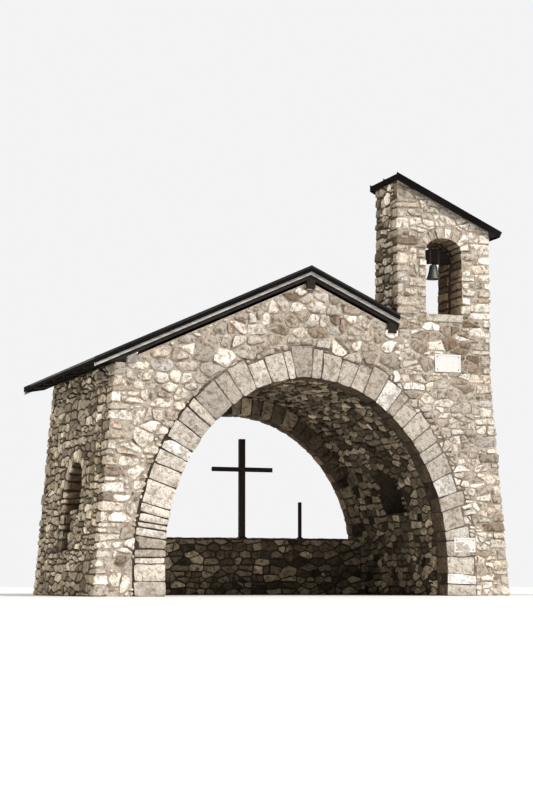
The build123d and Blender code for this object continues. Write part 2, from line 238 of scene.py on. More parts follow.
def setLight():
    world = bpy.data.worlds.new("studio")
    bpy.context.scene.world = world
    world.use_nodes = True
    tree = world.node_tree
    tree.nodes.clear()
    ray = addNode(tree, "LightPath").outputs
    soft = addNode(tree, "Background", Color=light["worldColour"], Strength=light["worldStrength"])
    pale = addNode(tree, "Background", Color=light["background"])
    seen = maths(tree, "MAXIMUM", ray["Is Camera Ray"],
                 maths(tree, "MAXIMUM", ray["Is Glossy Ray"], ray["Is Transmission Ray"]))
    mixed = addNode(tree, "MixShader", i0=seen, i1=soft.outputs[0], i2=pale.outputs[0])
    addNode(tree, "OutputWorld", Surface=mixed.outputs[0])
    for name, (strength, direction, softness, colour) in light["lamps"].items():
        lamp = bpy.data.lights.new(name, "SUN")
        lamp.energy = strength
        lamp.angle = math.radians(softness)
        lamp.color = colour
        addObject(name, lamp).rotation_euler = Vector(direction).to_track_quat("Z", "Y").to_euler()
    bpy.context.scene.view_settings.view_transform = "Standard"


def newMaterial(name):
    material = bpy.data.materials.new(name)
    material.use_nodes = True
    tree = material.node_tree
    return material, tree, tree.nodes["Principled BSDF"]


def layFloor():
    radius = light["floorRadius"]
    rim = [(radius * math.cos(a * math.pi / 32), radius * math.sin(a * math.pi / 32), 0) for a in range(64)]
    mesh = bpy.data.meshes.new("studioFloor")
    mesh.from_pydata(rim, [], [list(range(64))])
    material, tree, surface = newMaterial("floorPale")
    feed(tree, surface, {"Base Color": light["floorColour"], "Roughness": light["floorRoughness"]})
    mesh.materials.append(material)
    addObject("studioFloor", mesh)


setCamera()
setLight()
layFloor()
print("camera, light and floor are set")


# shader groups shared by the finishes; each gives a Colour, a Rough value and a Height
def newSkin(name, inputs):
    group = bpy.data.node_groups.new(name, "ShaderNodeTree")
    for label, value in inputs.items():
        kind = "Vector" if value is None else "Color" if isinstance(value, tuple) else "Float"
        socket = group.interface.new_socket(name=label, in_out="INPUT", socket_type="NodeSocket" + kind)
        if value is not None:
            socket.default_value = value
    for label, kind in (("Colour", "Color"), ("Rough", "Float"), ("Height", "Float")):
        group.interface.new_socket(name=label, in_out="OUTPUT", socket_type="NodeSocket" + kind)
    return group, group.nodes.new("NodeGroupInput").outputs, group.nodes.new("NodeGroupOutput")


# dirt, speckle, painted shade in the hollow places and a hewn skin for everything cut from stone; its Height is in
# metres
def buildStoneSkin():
    tree, given, result = newSkin("stoneSkin", {
        "Colour": (0.5, 0.5, 0.5, 1), "Vector": None, "Speckle": 0.3, "Hollows": 0.5, "Dirt": 0.4,
        "Dirt Colour": (0.1, 0.08, 0.06, 1), "Lichen": 0.2, "Relief": 1.0})
    colour, vector = given["Colour"], given["Vector"]
    blotch = noiseValue(tree, vector, 5.0, 5, 0.62, 0.3)
    cloud = noiseValue(tree, vector, 0.75, 3, 0.55)
    hewn = noiseValue(tree, vector, 15.0, 4, 0.55, 0.6)
    grain = noiseValue(tree, vector, 60.0, 5, 0.7)
    fine = noiseValue(tree, vector, 220.0, 3, 0.6)
    chips = addNode(tree, "TexVoronoi", {"feature": "F1"}, Vector=vector, Scale=19.0, Randomness=1.0)
    spots = addNode(tree, "TexVoronoi", {"feature": "SMOOTH_F1"}, Vector=vector, Scale=13.0)
    speckled = mixColour(tree, given["Speckle"], colour,
                         tinted(tree, colour, remap(tree, grain, 0.32, 0.68, 0.55, 1.36)))
    low = times(tree, remap(tree, hewn, 0.52, 0.34), given["Hollows"])       # 1 in the hollow places of the hewn face, which are darkened there as painted shade
    shaded = mixColour(tree, low, speckled, tinted(tree, speckled, (0.4, 0.34, 0.28)))
    grime = times(tree, remap(tree, blotch, 0.5, 0.7), given["Dirt"], remap(tree, cloud, 0.3, 0.7, 0.45, 1.3))
    dirty = mixColour(tree, grime, shaded, given["Dirt Colour"])
    lichen = times(tree, remap(tree, spots.outputs["Distance"], 0.28, 0.12), remap(tree, cloud, 0.5, 0.66),
                   given["Lichen"])
    relief = plus(tree, times(tree, hewn, 0.022), times(tree, chips.outputs["Distance"], 0.008),
                  times(tree, grain, 0.0045), times(tree, fine, 0.001))
    feed(tree, result, {"Colour": mixColour(tree, lichen, dirty, (0.42, 0.38, 0.27)),
                        "Rough": remap(tree, grain, 0.3, 0.7, 0.8, 0.98),
                        "Height": times(tree, relief, given["Relief"])})
    return tree


# grey weathered wood: long grain, checks and silvering
def buildWoodSkin():
    tree, given, result = newSkin("weatheredWood", {
        "Colour": (0.3, 0.28, 0.26, 1), "Silver": (0.45, 0.44, 0.43, 1), "Vector": None, "Wear": 0.5})
    colour, vector = given["Colour"], given["Vector"]
    fibre = noiseValue(tree, vector, 9.0, 8, 0.72, 0.4)
    band = noiseValue(tree, vector, 2.3, 4, 0.6, 0.8)
    check = noiseValue(tree, vector, 22.0, 3, 0.5, 0.2)
    dark = mixColour(tree, remap(tree, fibre, 0.35, 0.68, 0.0, 0.75), colour,
                     tinted(tree, colour, (0.45, 0.42, 0.4)))
    pale = mixColour(tree, times(tree, remap(tree, band, 0.4, 0.66), given["Wear"]), dark, given["Silver"])
    split = remap(tree, check, 0.3, 0.36, 1.0, 0.0)
    feed(tree, result, {"Colour": mixColour(tree, times(tree, split, 0.8), pale, (0.03, 0.027, 0.024)),
                        "Rough": remap(tree, fibre, 0.3, 0.7, 0.62, 0.9),
                        "Height": maths(tree, "SUBTRACT", fibre, times(tree, split, 0.6))})
    return tree


# rain streaks, dust and rust marks on metal
def buildMetalSkin():
    tree, given, result = newSkin("weatheredMetal", {
        "Colour": (0.1, 0.1, 0.1, 1), "Mark Colour": (0.2, 0.19, 0.18, 1), "Vector": None, "Streaks": None,
        "Marks": 0.5})
    run = noiseValue(tree, given["Streaks"], 3.0, 6, 0.65, 0.2)
    cloud = noiseValue(tree, given["Vector"], 2.4, 5, 0.6)
    fine = noiseValue(tree, given["Vector"], 46.0, 4, 0.6)
    mark = times(tree, remap(tree, run, 0.42, 0.7), given["Marks"], remap(tree, cloud, 0.3, 0.65, 0.4, 1.2))
    feed(tree, result, {"Colour": mixColour(tree, mark, given["Colour"], given["Mark Colour"]),
                        "Rough": remap(tree, plus(tree, run, times(tree, fine, 0.6)), 0.6, 1.1),
                        "Height": plus(tree, times(tree, cloud, 0.9), times(tree, fine, 0.12))})
    return tree


stoneSkin = buildStoneSkin()
woodSkin = buildWoodSkin()
metalSkin = buildMetalSkin()


# puts a skin on a material's surface; depth and strength are those of its bump
def wearSkin(tree, surface, skin, depth, strength, gloss, rough=(0.0, 1.0), **values):
    worn = addNode(tree, "Group", {"node_tree": skin}, **values).outputs
    bump = addNode(tree, "Bump", Strength=strength, Distance=depth, Height=worn["Height"])
    feed(tree, surface, {"Base Color": worn["Colour"], "Normal": bump.outputs[0], "Specular IOR Level": gloss,
                         "Roughness": remap(tree, worn["Rough"], 0.0, 1.0, *rough)})


def stretched(tree, scale):
    return addNode(tree, "Mapping", Vector=addNode(tree, "TexCoord").outputs["Object"], Scale=scale).outputs[0]


def wearStone(tree, surface, look, colour, vector):
    wearSkin(tree, surface, stoneSkin, 1.0, 1.0, look["gloss"], Colour=colour, Vector=vector,
             Speckle=look["speckle"], Hollows=look["hollows"], Dirt=look["dirt"], Dirt_Colour=look["dirtColour"],
             Lichen=look["lichen"], Relief=look["relief"])


# 0 on faces that look to the front and 1 on those that turn away; it masks the painted shade on the turned faces
def turnedAway(tree, where):
    return remap(tree, addNode(tree, "SeparateXYZ", i0=where["Normal"]).outputs[1], -0.75, -0.35)


# each laid stone carries its own draw of colours in the attribute stoneMix;
# faces that turn away from the front take the darker, browner shade palette, which is partly painted shade
def laidStone(name, look):
    material, tree, surface = newMaterial(name)
    where = addNode(tree, "TexCoord").outputs
    drawn = addNode(tree, "Attribute", {"attribute_name": "stoneMix"}).outputs
    parts = addNode(tree, "SeparateColor", i0=drawn["Color"]).outputs
    base = colourRamp(tree, parts[0], look["palette"])
    plain = drawn["Alpha"]                             # 0 on the stones of an opening, which take painted shade
    if "shadePalette" in look:
        turned = turnedAway(tree, where)
        base = mixColour(tree, turned, base, colourRamp(tree, parts[0], look["shadePalette"]))
        plain = maths(tree, "MAXIMUM", plain, maths(tree, "SUBTRACT", 1.0, turned))
    base = tinted(tree, base, remap(tree, parts[1], 0.0, 1.0, *look["brightness"]))
    # painted shade: stones inside an opening are darkened by the reveal tint, with a shade palette only on their
    # faces turned from the front
    base = mixColour(tree, plain, tinted(tree, base, look["revealShadeTint"]), base)
    shifted = addNode(tree, "VectorMath", {"operation": "ADD"}, i0=where["Object"], i1=drawn["Vector"])
    wearStone(tree, surface, look, base, shifted.outputs[0])
    return material


# mortar and plain slabs; faces that turn away from the front take a darker colour as painted shade,
# and leftColour lies deep in the open joints of the left leg
def mortarBed(name, look):
    material, tree, surface = newMaterial(name)
    where = addNode(tree, "TexCoord").outputs
    base = look["colour"]
    if "leftColour" in look:
        place = addNode(tree, "SeparateXYZ", i0=where["Object"])
        base = mixColour(tree, remap(tree, place.outputs[0], -1.5, -1.9), base, look["leftColour"])
    if "turnedShadeColour" in look:
        base = mixColour(tree, turnedAway(tree, where), base, look["turnedShadeColour"])
    wearStone(tree, surface, look, base, where["Object"])
    return material


# wood; pieceTone is each plank's own shade and stays at 0 on the plain solids
def timber(name, colour, silver, wear, grain):
    material, tree, surface = newMaterial(name)
    bright = plus(tree, addNode(tree, "Attribute", {"attribute_name": "pieceTone"}).outputs["Fac"], 1.0)
    wearSkin(tree, surface, woodSkin, 0.004, 0.7, 0.15, Colour=tinted(tree, colour, bright),
             Silver=tinted(tree, silver, bright), Wear=wear, Vector=stretched(tree, grain))
    return material


seams = {"first": cadBox[0][1], "gap": (cadBox[1][1] - cadBox[0][1] - 0.014) / 9, "wide": 0.0145,
         "verge": cadBox[1][1] - 0.1}


# painted sheet and iron; seamShade lightens the worn standing seams of the roof, but not on the verges
def sheetMetal(name, colour, marks, amount, streaks, metallic, gloss, rough=(0.42, 0.72), seamShade=None):
    material, tree, surface = newMaterial(name)
    where = addNode(tree, "TexCoord").outputs["Object"]
    if seamShade:
        y = addNode(tree, "SeparateXYZ", i0=where).outputs[1]
        along = maths(tree, "DIVIDE", maths(tree, "SUBTRACT", y, seams["first"]), seams["gap"])
        along = maths(tree, "FRACT", along)
        onSeam = times(tree, maths(tree, "LESS_THAN", along, seams["wide"] / seams["gap"]),
                       maths(tree, "LESS_THAN", maths(tree, "ABSOLUTE", y), seams["verge"]))
        colour = mixColour(tree, onSeam, colour, (seamShade, seamShade * 0.98, seamShade * 0.95))
    wearSkin(tree, surface, metalSkin, 0.006, 0.35, gloss, rough, Colour=colour, Mark_Colour=marks, Vector=where,
             Streaks=stretched(tree, streaks), Marks=amount)
    surface.inputs["Metallic"].default_value = metallic
    return material


warmStone = [(0.0, (0.76, 0.685, 0.585)), (0.16, (0.57, 0.495, 0.41)), (0.34, (0.84, 0.77, 0.675)),
             (0.5, (0.46, 0.375, 0.29)), (0.64, (0.7, 0.65, 0.58)), (0.8, (0.95, 0.89, 0.81)),
             (0.93, (0.62, 0.5, 0.4)), (1.0, (0.27, 0.195, 0.13))]
# shadeStone, for faces turned from the front and for the side walls, is darker and browner: partly weathering, partly
# painted shade
shadeStone = [(0.0, (0.72, 0.62, 0.47)), (0.2, (0.44, 0.355, 0.25)), (0.4, (0.92, 0.81, 0.64)),
              (0.6, (0.24, 0.18, 0.115)), (0.8, (0.6, 0.52, 0.4)), (1.0, (0.14, 0.1, 0.06))]
bellStone = [(0.0, (0.76, 0.67, 0.54)), (0.2, (0.56, 0.47, 0.36)), (0.4, (0.93, 0.84, 0.7)),
             (0.6, (0.34, 0.265, 0.185)), (0.8, (0.72, 0.63, 0.51)), (1.0, (0.2, 0.15, 0.1))]
# vaultStone is far darker than the stone outside: painted shade of the vault's inside
vaultStone = [(0.0, (0.42, 0.34, 0.23)), (0.3, (0.09, 0.07, 0.047)), (0.55, (0.7, 0.58, 0.42)),
              (0.78, (0.045, 0.035, 0.024)), (1.0, (0.3, 0.24, 0.165))]
ringStone = [(0.0, (0.74, 0.665, 0.57)), (0.25, (0.55, 0.49, 0.425)), (0.5, (0.84, 0.77, 0.68)),
             (0.75, (0.47, 0.4, 0.335)), (0.9, (0.66, 0.61, 0.54)), (1.0, (0.95, 0.91, 0.87))]

# what a stone finish doesn't say for itself comes from plainStone; its reveal tint is the painted shade inside
# openings
plainStone = {"speckle": 0.95, "hollows": 1.0, "lichen": 0.4, "relief": 1.1, "gloss": 0.2,
              "revealShadeTint": (0.3, 0.24, 0.19)}
stoneLooks = {
    "frontStone": {"palette": warmStone, "shadePalette": shadeStone, "brightness": (0.74, 1.42), "dirt": 0.75,
                   "dirtColour": (0.19, 0.135, 0.085), "lichen": 0.3, "relief": 1.0, "gloss": 0.25,
                   "revealShadeTint": (0.62, 0.54, 0.46)},
    "ringStone": {"palette": ringStone, "shadePalette": shadeStone, "brightness": (0.84, 1.16), "hollows": 0.8,
                  "dirt": 0.65, "dirtColour": (0.2, 0.15, 0.1), "lichen": 0.2, "relief": 1.0, "gloss": 0.25,
                  "revealShadeTint": (0.15, 0.122, 0.092)},
    # sideStone is a darker copy of the front stone for the side and back walls: partly painted shade
    "sideStone": {"palette": shadeStone, "brightness": (0.66, 1.5), "dirt": 0.85, "dirtColour": (0.1, 0.07, 0.04)},
    "bellSideStone": {"palette": bellStone, "brightness": (0.8, 1.6), "hollows": 0.9, "dirt": 0.65,
                      "dirtColour": (0.12, 0.085, 0.05)},
    # the vault's dark palette and near black dirt colour are painted shade
    "vaultStone": {"palette": vaultStone, "brightness": (0.5, 1.5), "speckle": 0.9, "dirt": 0.8,
                   "dirtColour": (0.025, 0.019, 0.012), "lichen": 0.1, "relief": 1.0, "gloss": 0.05,
                   "revealShadeTint": (0.6, 0.55, 0.5)},
}
plainMortar = {"speckle": 0.8, "hollows": 0.6, "dirt": 0.9, "lichen": 0.0, "relief": 1.0, "gloss": 0.1}
mortarLooks = {
    # the much darker colours of the turned faces of these mortars are painted shade
    "frontMortar": {"colour": (0.57, 0.495, 0.41), "turnedShadeColour": (0.1, 0.076, 0.05),
                    "dirtColour": (0.09, 0.066, 0.045)},
    "ringMortar": {"colour": (0.26, 0.212, 0.168), "turnedShadeColour": (0.05, 0.04, 0.028),
                   "leftColour": (0.06, 0.046, 0.035), "dirtColour": (0.07, 0.053, 0.038)},
    "sillSlab": {"colour": (0.66, 0.6, 0.52), "dirt": 0.7, "dirtColour": (0.2, 0.15, 0.1)},
    # the dark mortar of the side and back walls is partly painted shade
    "sideMortar": {"colour": (0.065, 0.049, 0.032), "dirtColour": (0.035, 0.025, 0.016)},
    # near black vault mortar: painted shade inside the vault
    "vaultMortar": {"colour": (0.03, 0.024, 0.017), "dirt": 0.8, "dirtColour": (0.013, 0.01, 0.007)},
    "paleSlab": {"colour": (0.8, 0.78, 0.75), "speckle": 0.12, "hollows": 0.08, "dirt": 0.1,
                 "dirtColour": (0.45, 0.4, 0.33), "relief": 0.05, "gloss": 0.3},
}
# colour, silvered colour, wear, scale of the grain
timberLooks = {
    # the roof timbers are near black: painted shade of the roof's underside
    "roofTimberAlongY": ((0.022, 0.016, 0.012), (0.05, 0.042, 0.036), 0.5, (6.0, 0.35, 6.0)),
    "roofTimberAlongX": ((0.022, 0.016, 0.012), (0.05, 0.042, 0.036), 0.5, (0.35, 6.0, 6.0)),
    "darkTimber": ((0.024, 0.018, 0.015), (0.05, 0.042, 0.037), 0.5, (0.35, 6.0, 6.0)),
    "paleBoard": ((0.5, 0.48, 0.45), (0.7, 0.68, 0.65), 0.8, (0.4, 7.0, 7.0)),
    # paleTimber is a lit, paler copy of the same timber for the left wall plate: painted light
    "paleTimber": ((0.3, 0.28, 0.25), (0.5, 0.48, 0.45), 0.7, (6.0, 0.35, 6.0)),
    "crossWood": ((0.03, 0.02, 0.016), (0.06, 0.044, 0.037), 0.5, (7.0, 7.0, 0.4)),
    "crossArmWood": ((0.03, 0.02, 0.016), (0.06, 0.044, 0.037), 0.5, (0.4, 7.0, 7.0)),
}
# colour, colour and amount of its marks, scale of the streaks, metallic, gloss, roughness, shade of the seams
metalLooks = {
    "darkSheet": ((0.018, 0.017, 0.018), (0.066, 0.064, 0.062), 0.8, (0.35, 9.0, 0.35), 0.0, 0.08,
                  (0.72, 0.95), 0.15),
    # blackSheet, near black with almost no gloss, is partly the sheet's dark paint and partly painted shade on its
    # edges
    "blackSheet": ((0.007, 0.006, 0.006), (0.02, 0.018, 0.016), 0.6, (0.6, 6.0, 0.6), 0.0, 0.02, (0.75, 0.95)),
    "rustyIron": ((0.05, 0.042, 0.038), (0.16, 0.07, 0.032), 0.9, (5.0, 5.0, 2.0), 0.4, 0.3),
    "bellBronze": ((0.1, 0.095, 0.08), (0.24, 0.27, 0.25), 0.6, (5.0, 5.0, 1.5), 0.6, 0.5),
}
finishes = {name: laidStone(name, dict(plainStone, **look)) for name, look in stoneLooks.items()}
finishes.update({name: mortarBed(name, dict(plainMortar, **look)) for name, look in mortarLooks.items()})
finishes.update({name: timber(name, *look) for name, look in timberLooks.items()})
finishes.update({name: sheetMetal(name, *look) for name, look in metalLooks.items()})
print("finishes:", len(finishes))


# smooths all but the sharp edges, gives the finish and mounts the piece on its body
def mountPiece(name, mesh, finish, body, sharp):
    if sharp:
        mesh.polygons.foreach_set("use_smooth", [True] * len(mesh.polygons))
        mesh.set_sharp_from_angle(angle=math.radians(sharp))
    mesh.materials.append(finishes[finish])
    thing = addObject(name, mesh)
    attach(thing, body)
    print(name, "faces:", len(mesh.polygons))
    return thing


heapLook = {"toneSpread": 0.03, "brightSpread": (0.7, 1.1), "sharp": 34}       # sharp edges, in degrees


# collects many small stones that become one mesh
class StoneHeap:
    def __init__(self, seed, patches=()):
        self.points, self.faces, self.mixes, self.stones = [], [], [], 0
        self.draw = random.Random(seed)
        self.patches = patches       # place (x, z), reach, share of the stones, tone in the palette, brightness

    # reveal(point) is 1 on the faces of a wall and 0 inside an opening, where the stones take painted shade
    def addStone(self, points, faces, reveal=None):
        start = len(self.points)
        points = [(x, y, max(z, 0.0)) for x, y, z in points]      # nothing sinks into the floor
        self.points.extend(points)
        self.faces.extend([start + i for i in face] for face in faces)
        tone, bright, shift = [self.draw.random() for _ in range(3)]
        middleX, middleZ = [sum(point[axis] for point in points) / len(points) for axis in (0, 2)]
        for (patchX, patchZ), reach, share, patchTone, patchBright in self.patches:
            if math.hypot(middleX - patchX, middleZ - patchZ) < reach and self.draw.random() < share:
                tone = patchTone + self.draw.uniform(-heapLook["toneSpread"], heapLook["toneSpread"])
                bright = patchBright * self.draw.uniform(*heapLook["brightSpread"])
        self.stones += 1
        for point in points:
            self.mixes.extend((tone, bright, shift, reveal(point) if reveal else 1.0))

    def build(self, name, finish):
        mesh = bpy.data.meshes.new(name)
        mesh.from_pydata(self.points, [], self.faces)
        mesh.validate()
        mesh.attributes.new("stoneMix", "FLOAT_COLOR", "POINT").data.foreach_set("color", self.mixes)
        print(name, "stones:", self.stones)
        mountPiece(name, mesh, finish, "chapel", heapLook["sharp"])


# outlines are closed lists of points and run counterclockwise
def rectangle(lowU, lowV, highU, highV):
    return [(lowU, lowV), (highU, lowV), (highU, highV), (lowU, highV)]


def pairsRound(items):
    return zip(items, items[1:] + items[:1])


def outlineArea(outline):
    return 0.5 * sum(ax * by - bx * ay for (ax, ay), (bx, by) in pairsRound(outline))


def counterClockwise(outline):
    return outline if outlineArea(outline) > 0 else outline[::-1]


# start, outward direction and length of each edge
def edgesOf(outline):
    for (ax, ay), (bx, by) in pairsRound(outline):
        length = math.hypot(bx - ax, by - ay) or 1e-9
        yield ax, ay, (by - ay) / length, -(bx - ax) / length, length


# keeps the part of a convex outline on the inner side of a line
def cutOutline(outline, px, py, nx, ny):
    kept = []
    sides = [(x - px) * nx + (y - py) * ny for x, y in outline]
    for ((ax, ay), (bx, by)), (here, there) in zip(pairsRound(outline), pairsRound(sides)):
        if here <= 0:
            kept.append((ax, ay))
        if here < 0 < there or there < 0 < here:
            share = here / (here - there)
            kept.append((ax + (bx - ax) * share, ay + (by - ay) * share))
    return kept


def insetOutline(outline, gap):
    shrunk = outline
    for ax, ay, nx, ny, length in edgesOf(outline):
        if length >= 1e-6 and len(shrunk) >= 3:
            shrunk = cutOutline(shrunk, ax - nx * gap, ay - ny * gap, nx, ny)
    return shrunk


# keeps an outline clear of a convex block, cutting along the edge that faces the seed
def keepClear(outline, seed, block):
    best, line = -math.inf, None
    for ax, ay, nx, ny, _ in edgesOf(block):
        away = (seed[0] - ax) * nx + (seed[1] - ay) * ny
        if away > best:
            best, line = away, (ax, ay, -nx, -ny)
    return cutOutline(outline, *line) if best > cells["clear"] else []


def covers(outline, x, y):
    return all((bx - ax) * (y - ay) - (by - ay) * (x - ax) >= 0
               for (ax, ay), (bx, by) in pairsRound(outline))


# cuts the corners off an outline and lets its long edges waver
def roughOutline(outline, look, draw):
    rough = []
    for (ax, ay), (bx, by) in pairsRound(outline):
        length = math.hypot(bx - ax, by - ay)
        if length < look["shortest"]:
            continue
        cut = min(look["corner"] * length, draw.uniform(*look["cut"]))
        nx, ny = -(by - ay) / length, (bx - ax) / length      # towards the inside
        steps = max(1, round((length - 2 * cut) / look["spacing"]))
        for k in range(steps + 1):
            share = (cut + (length - 2 * cut) * k / steps) / length
            into = draw.uniform(0, look["waver"]) if 0 < k < steps else 0.0
            rough.append((ax + (bx - ax) * share + nx * into, ay + (by - ay) * share + ny * into))
    return rough


cells = {"size": 0.4, "reach": 0.5, "nearest": 28, "closest": 0.02, "splitArea": 0.014, "margin": 0.2,
         "start": (0.1, 0.4), "overrun": 0.3, "clear": 0.01}
pin = {"step": 0.05, "wide": (0.05, 0.1), "high": (0.03, 0.06), "smallest": 0.0018, "grid": 0.2, "seedStep": 5}


# rows of seeds with some left out and some added, then the cell round each seed
def rubbleCells(low, high, course, seed, belongs, trim):
    draw = random.Random(seed)
    squeeze, size, reach = course["squeeze"], cells["size"], cells["reach"]
    seeds = []
    v = low[1] - cells["margin"]
    while v < high[1] + cells["margin"]:
        rise = draw.uniform(*course["rise"])
        u = low[0] - draw.uniform(*cells["start"])
        while u < high[0] + cells["overrun"]:
            run = draw.uniform(*course["run"]) * (0.55 + 0.6 * rise / course["rise"][1])
            if draw.random() > course["missing"]:
                seeds.append((u + run / 2, v + rise * (0.5 + draw.uniform(-course["drift"], course["drift"]))))
            if draw.random() < course["pins"]:
                seeds.append((u + draw.uniform(-0.03, 0.03), v + draw.uniform(0, rise)))
            u += run
        v += rise
    grid = {}
    for i, (x, y) in enumerate(seeds):
        grid.setdefault((int(x * squeeze // size), int(y // size)), []).append(i)
    found = []
    for i, (x, y) in enumerate(seeds):
        if not belongs(x, y):
            continue
        sx = x * squeeze
        outline = rectangle(sx - reach, y - reach, sx + reach, y + reach)
        gx, gy = int(sx // size), int(y // size)
        near = [j for a in range(gx - 2, gx + 3) for b in range(gy - 2, gy + 3)
                for j in grid.get((a, b), ()) if j != i]
        near.sort(key=lambda j: (seeds[j][0] * squeeze - sx) ** 2 + (seeds[j][1] - y) ** 2)
        for j in near[:cells["nearest"]]:
            ox, oy = seeds[j][0] * squeeze, seeds[j][1]
            far = math.hypot(ox - sx, oy - y)
            if far < cells["closest"]:
                outline = [] if j < i else outline
                continue
            outline = cutOutline(outline, (sx + ox) / 2, (y + oy) / 2, (ox - sx) / far, (oy - y) / far)
            if len(outline) < 3:
                break
        if len(outline) < 3:
            continue
        outline = trim([(px / squeeze, py) for px, py in outline], (x, y))
        if len(outline) < 3 or outlineArea(outline) < course["smallest"]:
            continue
        if outlineArea(outline) > cells["splitArea"] and draw.random() < course["split"]:
            angle = draw.choice((0.0, 0.0, 1.57)) + draw.uniform(-0.5, 0.5)
            px, py = x + draw.uniform(-0.03, 0.03), y + draw.uniform(-0.015, 0.015)
            nx, ny = math.cos(angle), math.sin(angle)
            found += [cutOutline(outline, px, py, nx, ny), cutOutline(outline, px, py, -nx, -ny)]
        else:
            found.append(outline)
    return [cell for cell in found if len(cell) >= 3 and outlineArea(cell) > course["smallest"]]


# small stones for whatever the courses have left open
def pinCells(laid, low, high, seed, belongs, trim):
    draw = random.Random(seed + pin["seedStep"])
    near, pins, step = {}, [], pin["step"]

    def remember(cell):
        spans = [range(int(min(values) // pin["grid"]) - 1, int(max(values) // pin["grid"]) + 2)
                 for values in zip(*cell)]
        for key in itertools.product(*spans):
            near.setdefault(key, []).append(cell)

    for cell in laid:
        remember(cell)
    for row, column in itertools.product(*[range(int((high[axis] - low[axis]) / step)) for axis in (1, 0)]):
        x = low[0] + (column + draw.random()) * step
        y = low[1] + (row + draw.random()) * step
        wide, tall = draw.uniform(*pin["wide"]), draw.uniform(*pin["high"])
        around = near.get((int(x // pin["grid"]), int(y // pin["grid"])), ())
        if not belongs(x, y) or any(covers(cell, x, y) for cell in around):
            continue
        outline = trim(rectangle(x - wide, y - tall, x + wide, y + tall), (x, y))
        for cell in around:
            if len(outline) >= 3:
                outline = keepClear(outline, (x, y), cell)
        if len(outline) >= 3 and outlineArea(outline) > pin["smallest"]:
            pins.append(outline)
            remember(outline)
    return pins


# keeps a cell within half planes (a point on the edge, its outward direction) and clear of convex blocks
def trimmer(lines, blocks):
    fields = [(block, *[pick(p[axis] for p in block) for axis in (0, 1) for pick in (min, max)])
              for block in blocks]

    def trim(outline, seed):
        for line in lines:
            outline = cutOutline(outline, *line)
            if len(outline) < 3:
                return []
        for block, x0, x1, y0, y1 in fields:
            if (max(p[0] for p in outline) >= x0 and min(p[0] for p in outline) <= x1
                    and max(p[1] for p in outline) >= y0 and min(p[1] for p in outline) <= y1):
                outline = keepClear(outline, seed, block)
                if len(outline) < 3:
                    return []
        return outline
    return trim


stoneFace = {
    "planes": 3,
    "wear": 0.012,               # how deep the hewn planes cut in
    "back": -0.012,              # where a stone's side starts, in the mortar
    "arris": (0.006, 0.014),     # broken edge round the face
    "least": 0.003,
    "coarse": (11, 0.007),       # waves to the metre and depth of the two sizes of roughness
    "fine": (31, 0.0035),
    "shift": (0.004, 0.003),     # how far they move a point sideways
    "centre": 0.004,
}


# one stone of a wall face: sides out of the mortar, a broken arris and hewn planes;
# place(u, v, h) gives the point, h is how far it stands out of the mortar
def faceStone(heap, outline, place, look):
    draw = heap.draw
    outline = insetOutline(outline, draw.uniform(*look["joint"]) / 2)
    if len(outline) < 3 or outlineArea(outline) < look["smallest"]:
        return
    outline = roughOutline(outline, look, draw)
    count, rings, steep = len(outline), look["rings"], look["steep"]
    if count < 4:
        return
    cu, cv = [sum(values) / count for values in zip(*outline)]
    size = math.sqrt(abs(outlineArea(outline)))
    height = draw.uniform(*look["height"]) * min(1.0, 0.6 + size * 2.5)
    planes = [[draw.uniform(-steep, steep), draw.uniform(-steep, steep), draw.uniform(0.0, stoneFace["wear"])]
              for _ in range(stoneFace["planes"])]
    offset = Vector([draw.uniform(0, 90) for _ in range(3)])
    arris = min(0.2, draw.uniform(*stoneFace["arris"]) / size * 2.2)
    (coarse, coarseDepth), (small, smallDepth) = stoneFace["coarse"], stoneFace["fine"]
    points = []
    for step, (share, lift) in enumerate(rings):
        share = arris if step == 2 else share
        for u, v in outline:
            su, sv = u + (cu - u) * share, v + (cv - v) * share
            if lift < 0:
                points.append(place(su, sv, stoneFace["back"]))
                continue
            wobble = noise.noise(Vector((su * coarse, sv * coarse, 0)) + offset)
            fine = noise.noise(Vector((su * small, sv * small, 7)) + offset)
            hewn = min(0.0, min(a * (su - cu) + b * (sv - cv) + c for a, b, c in planes))
            carved = hewn + wobble * coarseDepth + fine * smallDepth
            rise = height * lift + carved * (1.0 if lift > 0.8 else 0.5)
            rise = min(max(rise, stoneFace["least"]), look["most"])
            points.append(place(su + fine * stoneFace["shift"][0], sv + wobble * stoneFace["shift"][1], rise))
    centre = stoneFace["centre"]
    points.append(place(cu, cv, min(look["most"], max(centre, height + draw.uniform(-centre, centre)))))
    last = (len(rings) - 1) * count
    faces = [(start + i, start + (i + 1) % count, start + (i + 1) % count + count, start + i + count)
             for start in range(0, last, count) for i in range(count)]
    heap.addStone(points, faces + [(last + i, last + (i + 1) % count, last + count) for i in range(count)])


# the corners of a box, x fastest, then y, then z
def eightCorners(xs, ys, zs):
    return [(x, y, z) for z in zs for y in ys for x in xs]


blockSteps = (-1.0, -0.72, 0.0, 0.72, 1.0)
blockEnds = (0, len(blockSteps) - 1)
blockNoise = ((6, 1.0), (23, 0.35))               # waves to the metre and share of the roughness


# grid points on the surface of a block, and the faces between them
def blockSurface():
    keys = [key for key in itertools.product(range(len(blockSteps)), repeat=3) if set(key) & set(blockEnds)]
    places = {key: i for i, key in enumerate(keys)}
    faces = []
    for axis, end, p, q in itertools.product(range(3), blockEnds, range(blockEnds[1]), range(blockEnds[1])):
        quad = []
        for dp, dq in rectangle(0, 0, 1, 1):
            key = [p + dp, q + dq]
            key.insert(axis, end)
            quad.append(places[tuple(key)])
        faces.append(quad if (axis == 1) == (end == 0) else quad[::-1])
    return keys, faces


blockKeys, blockFaces = blockSurface()


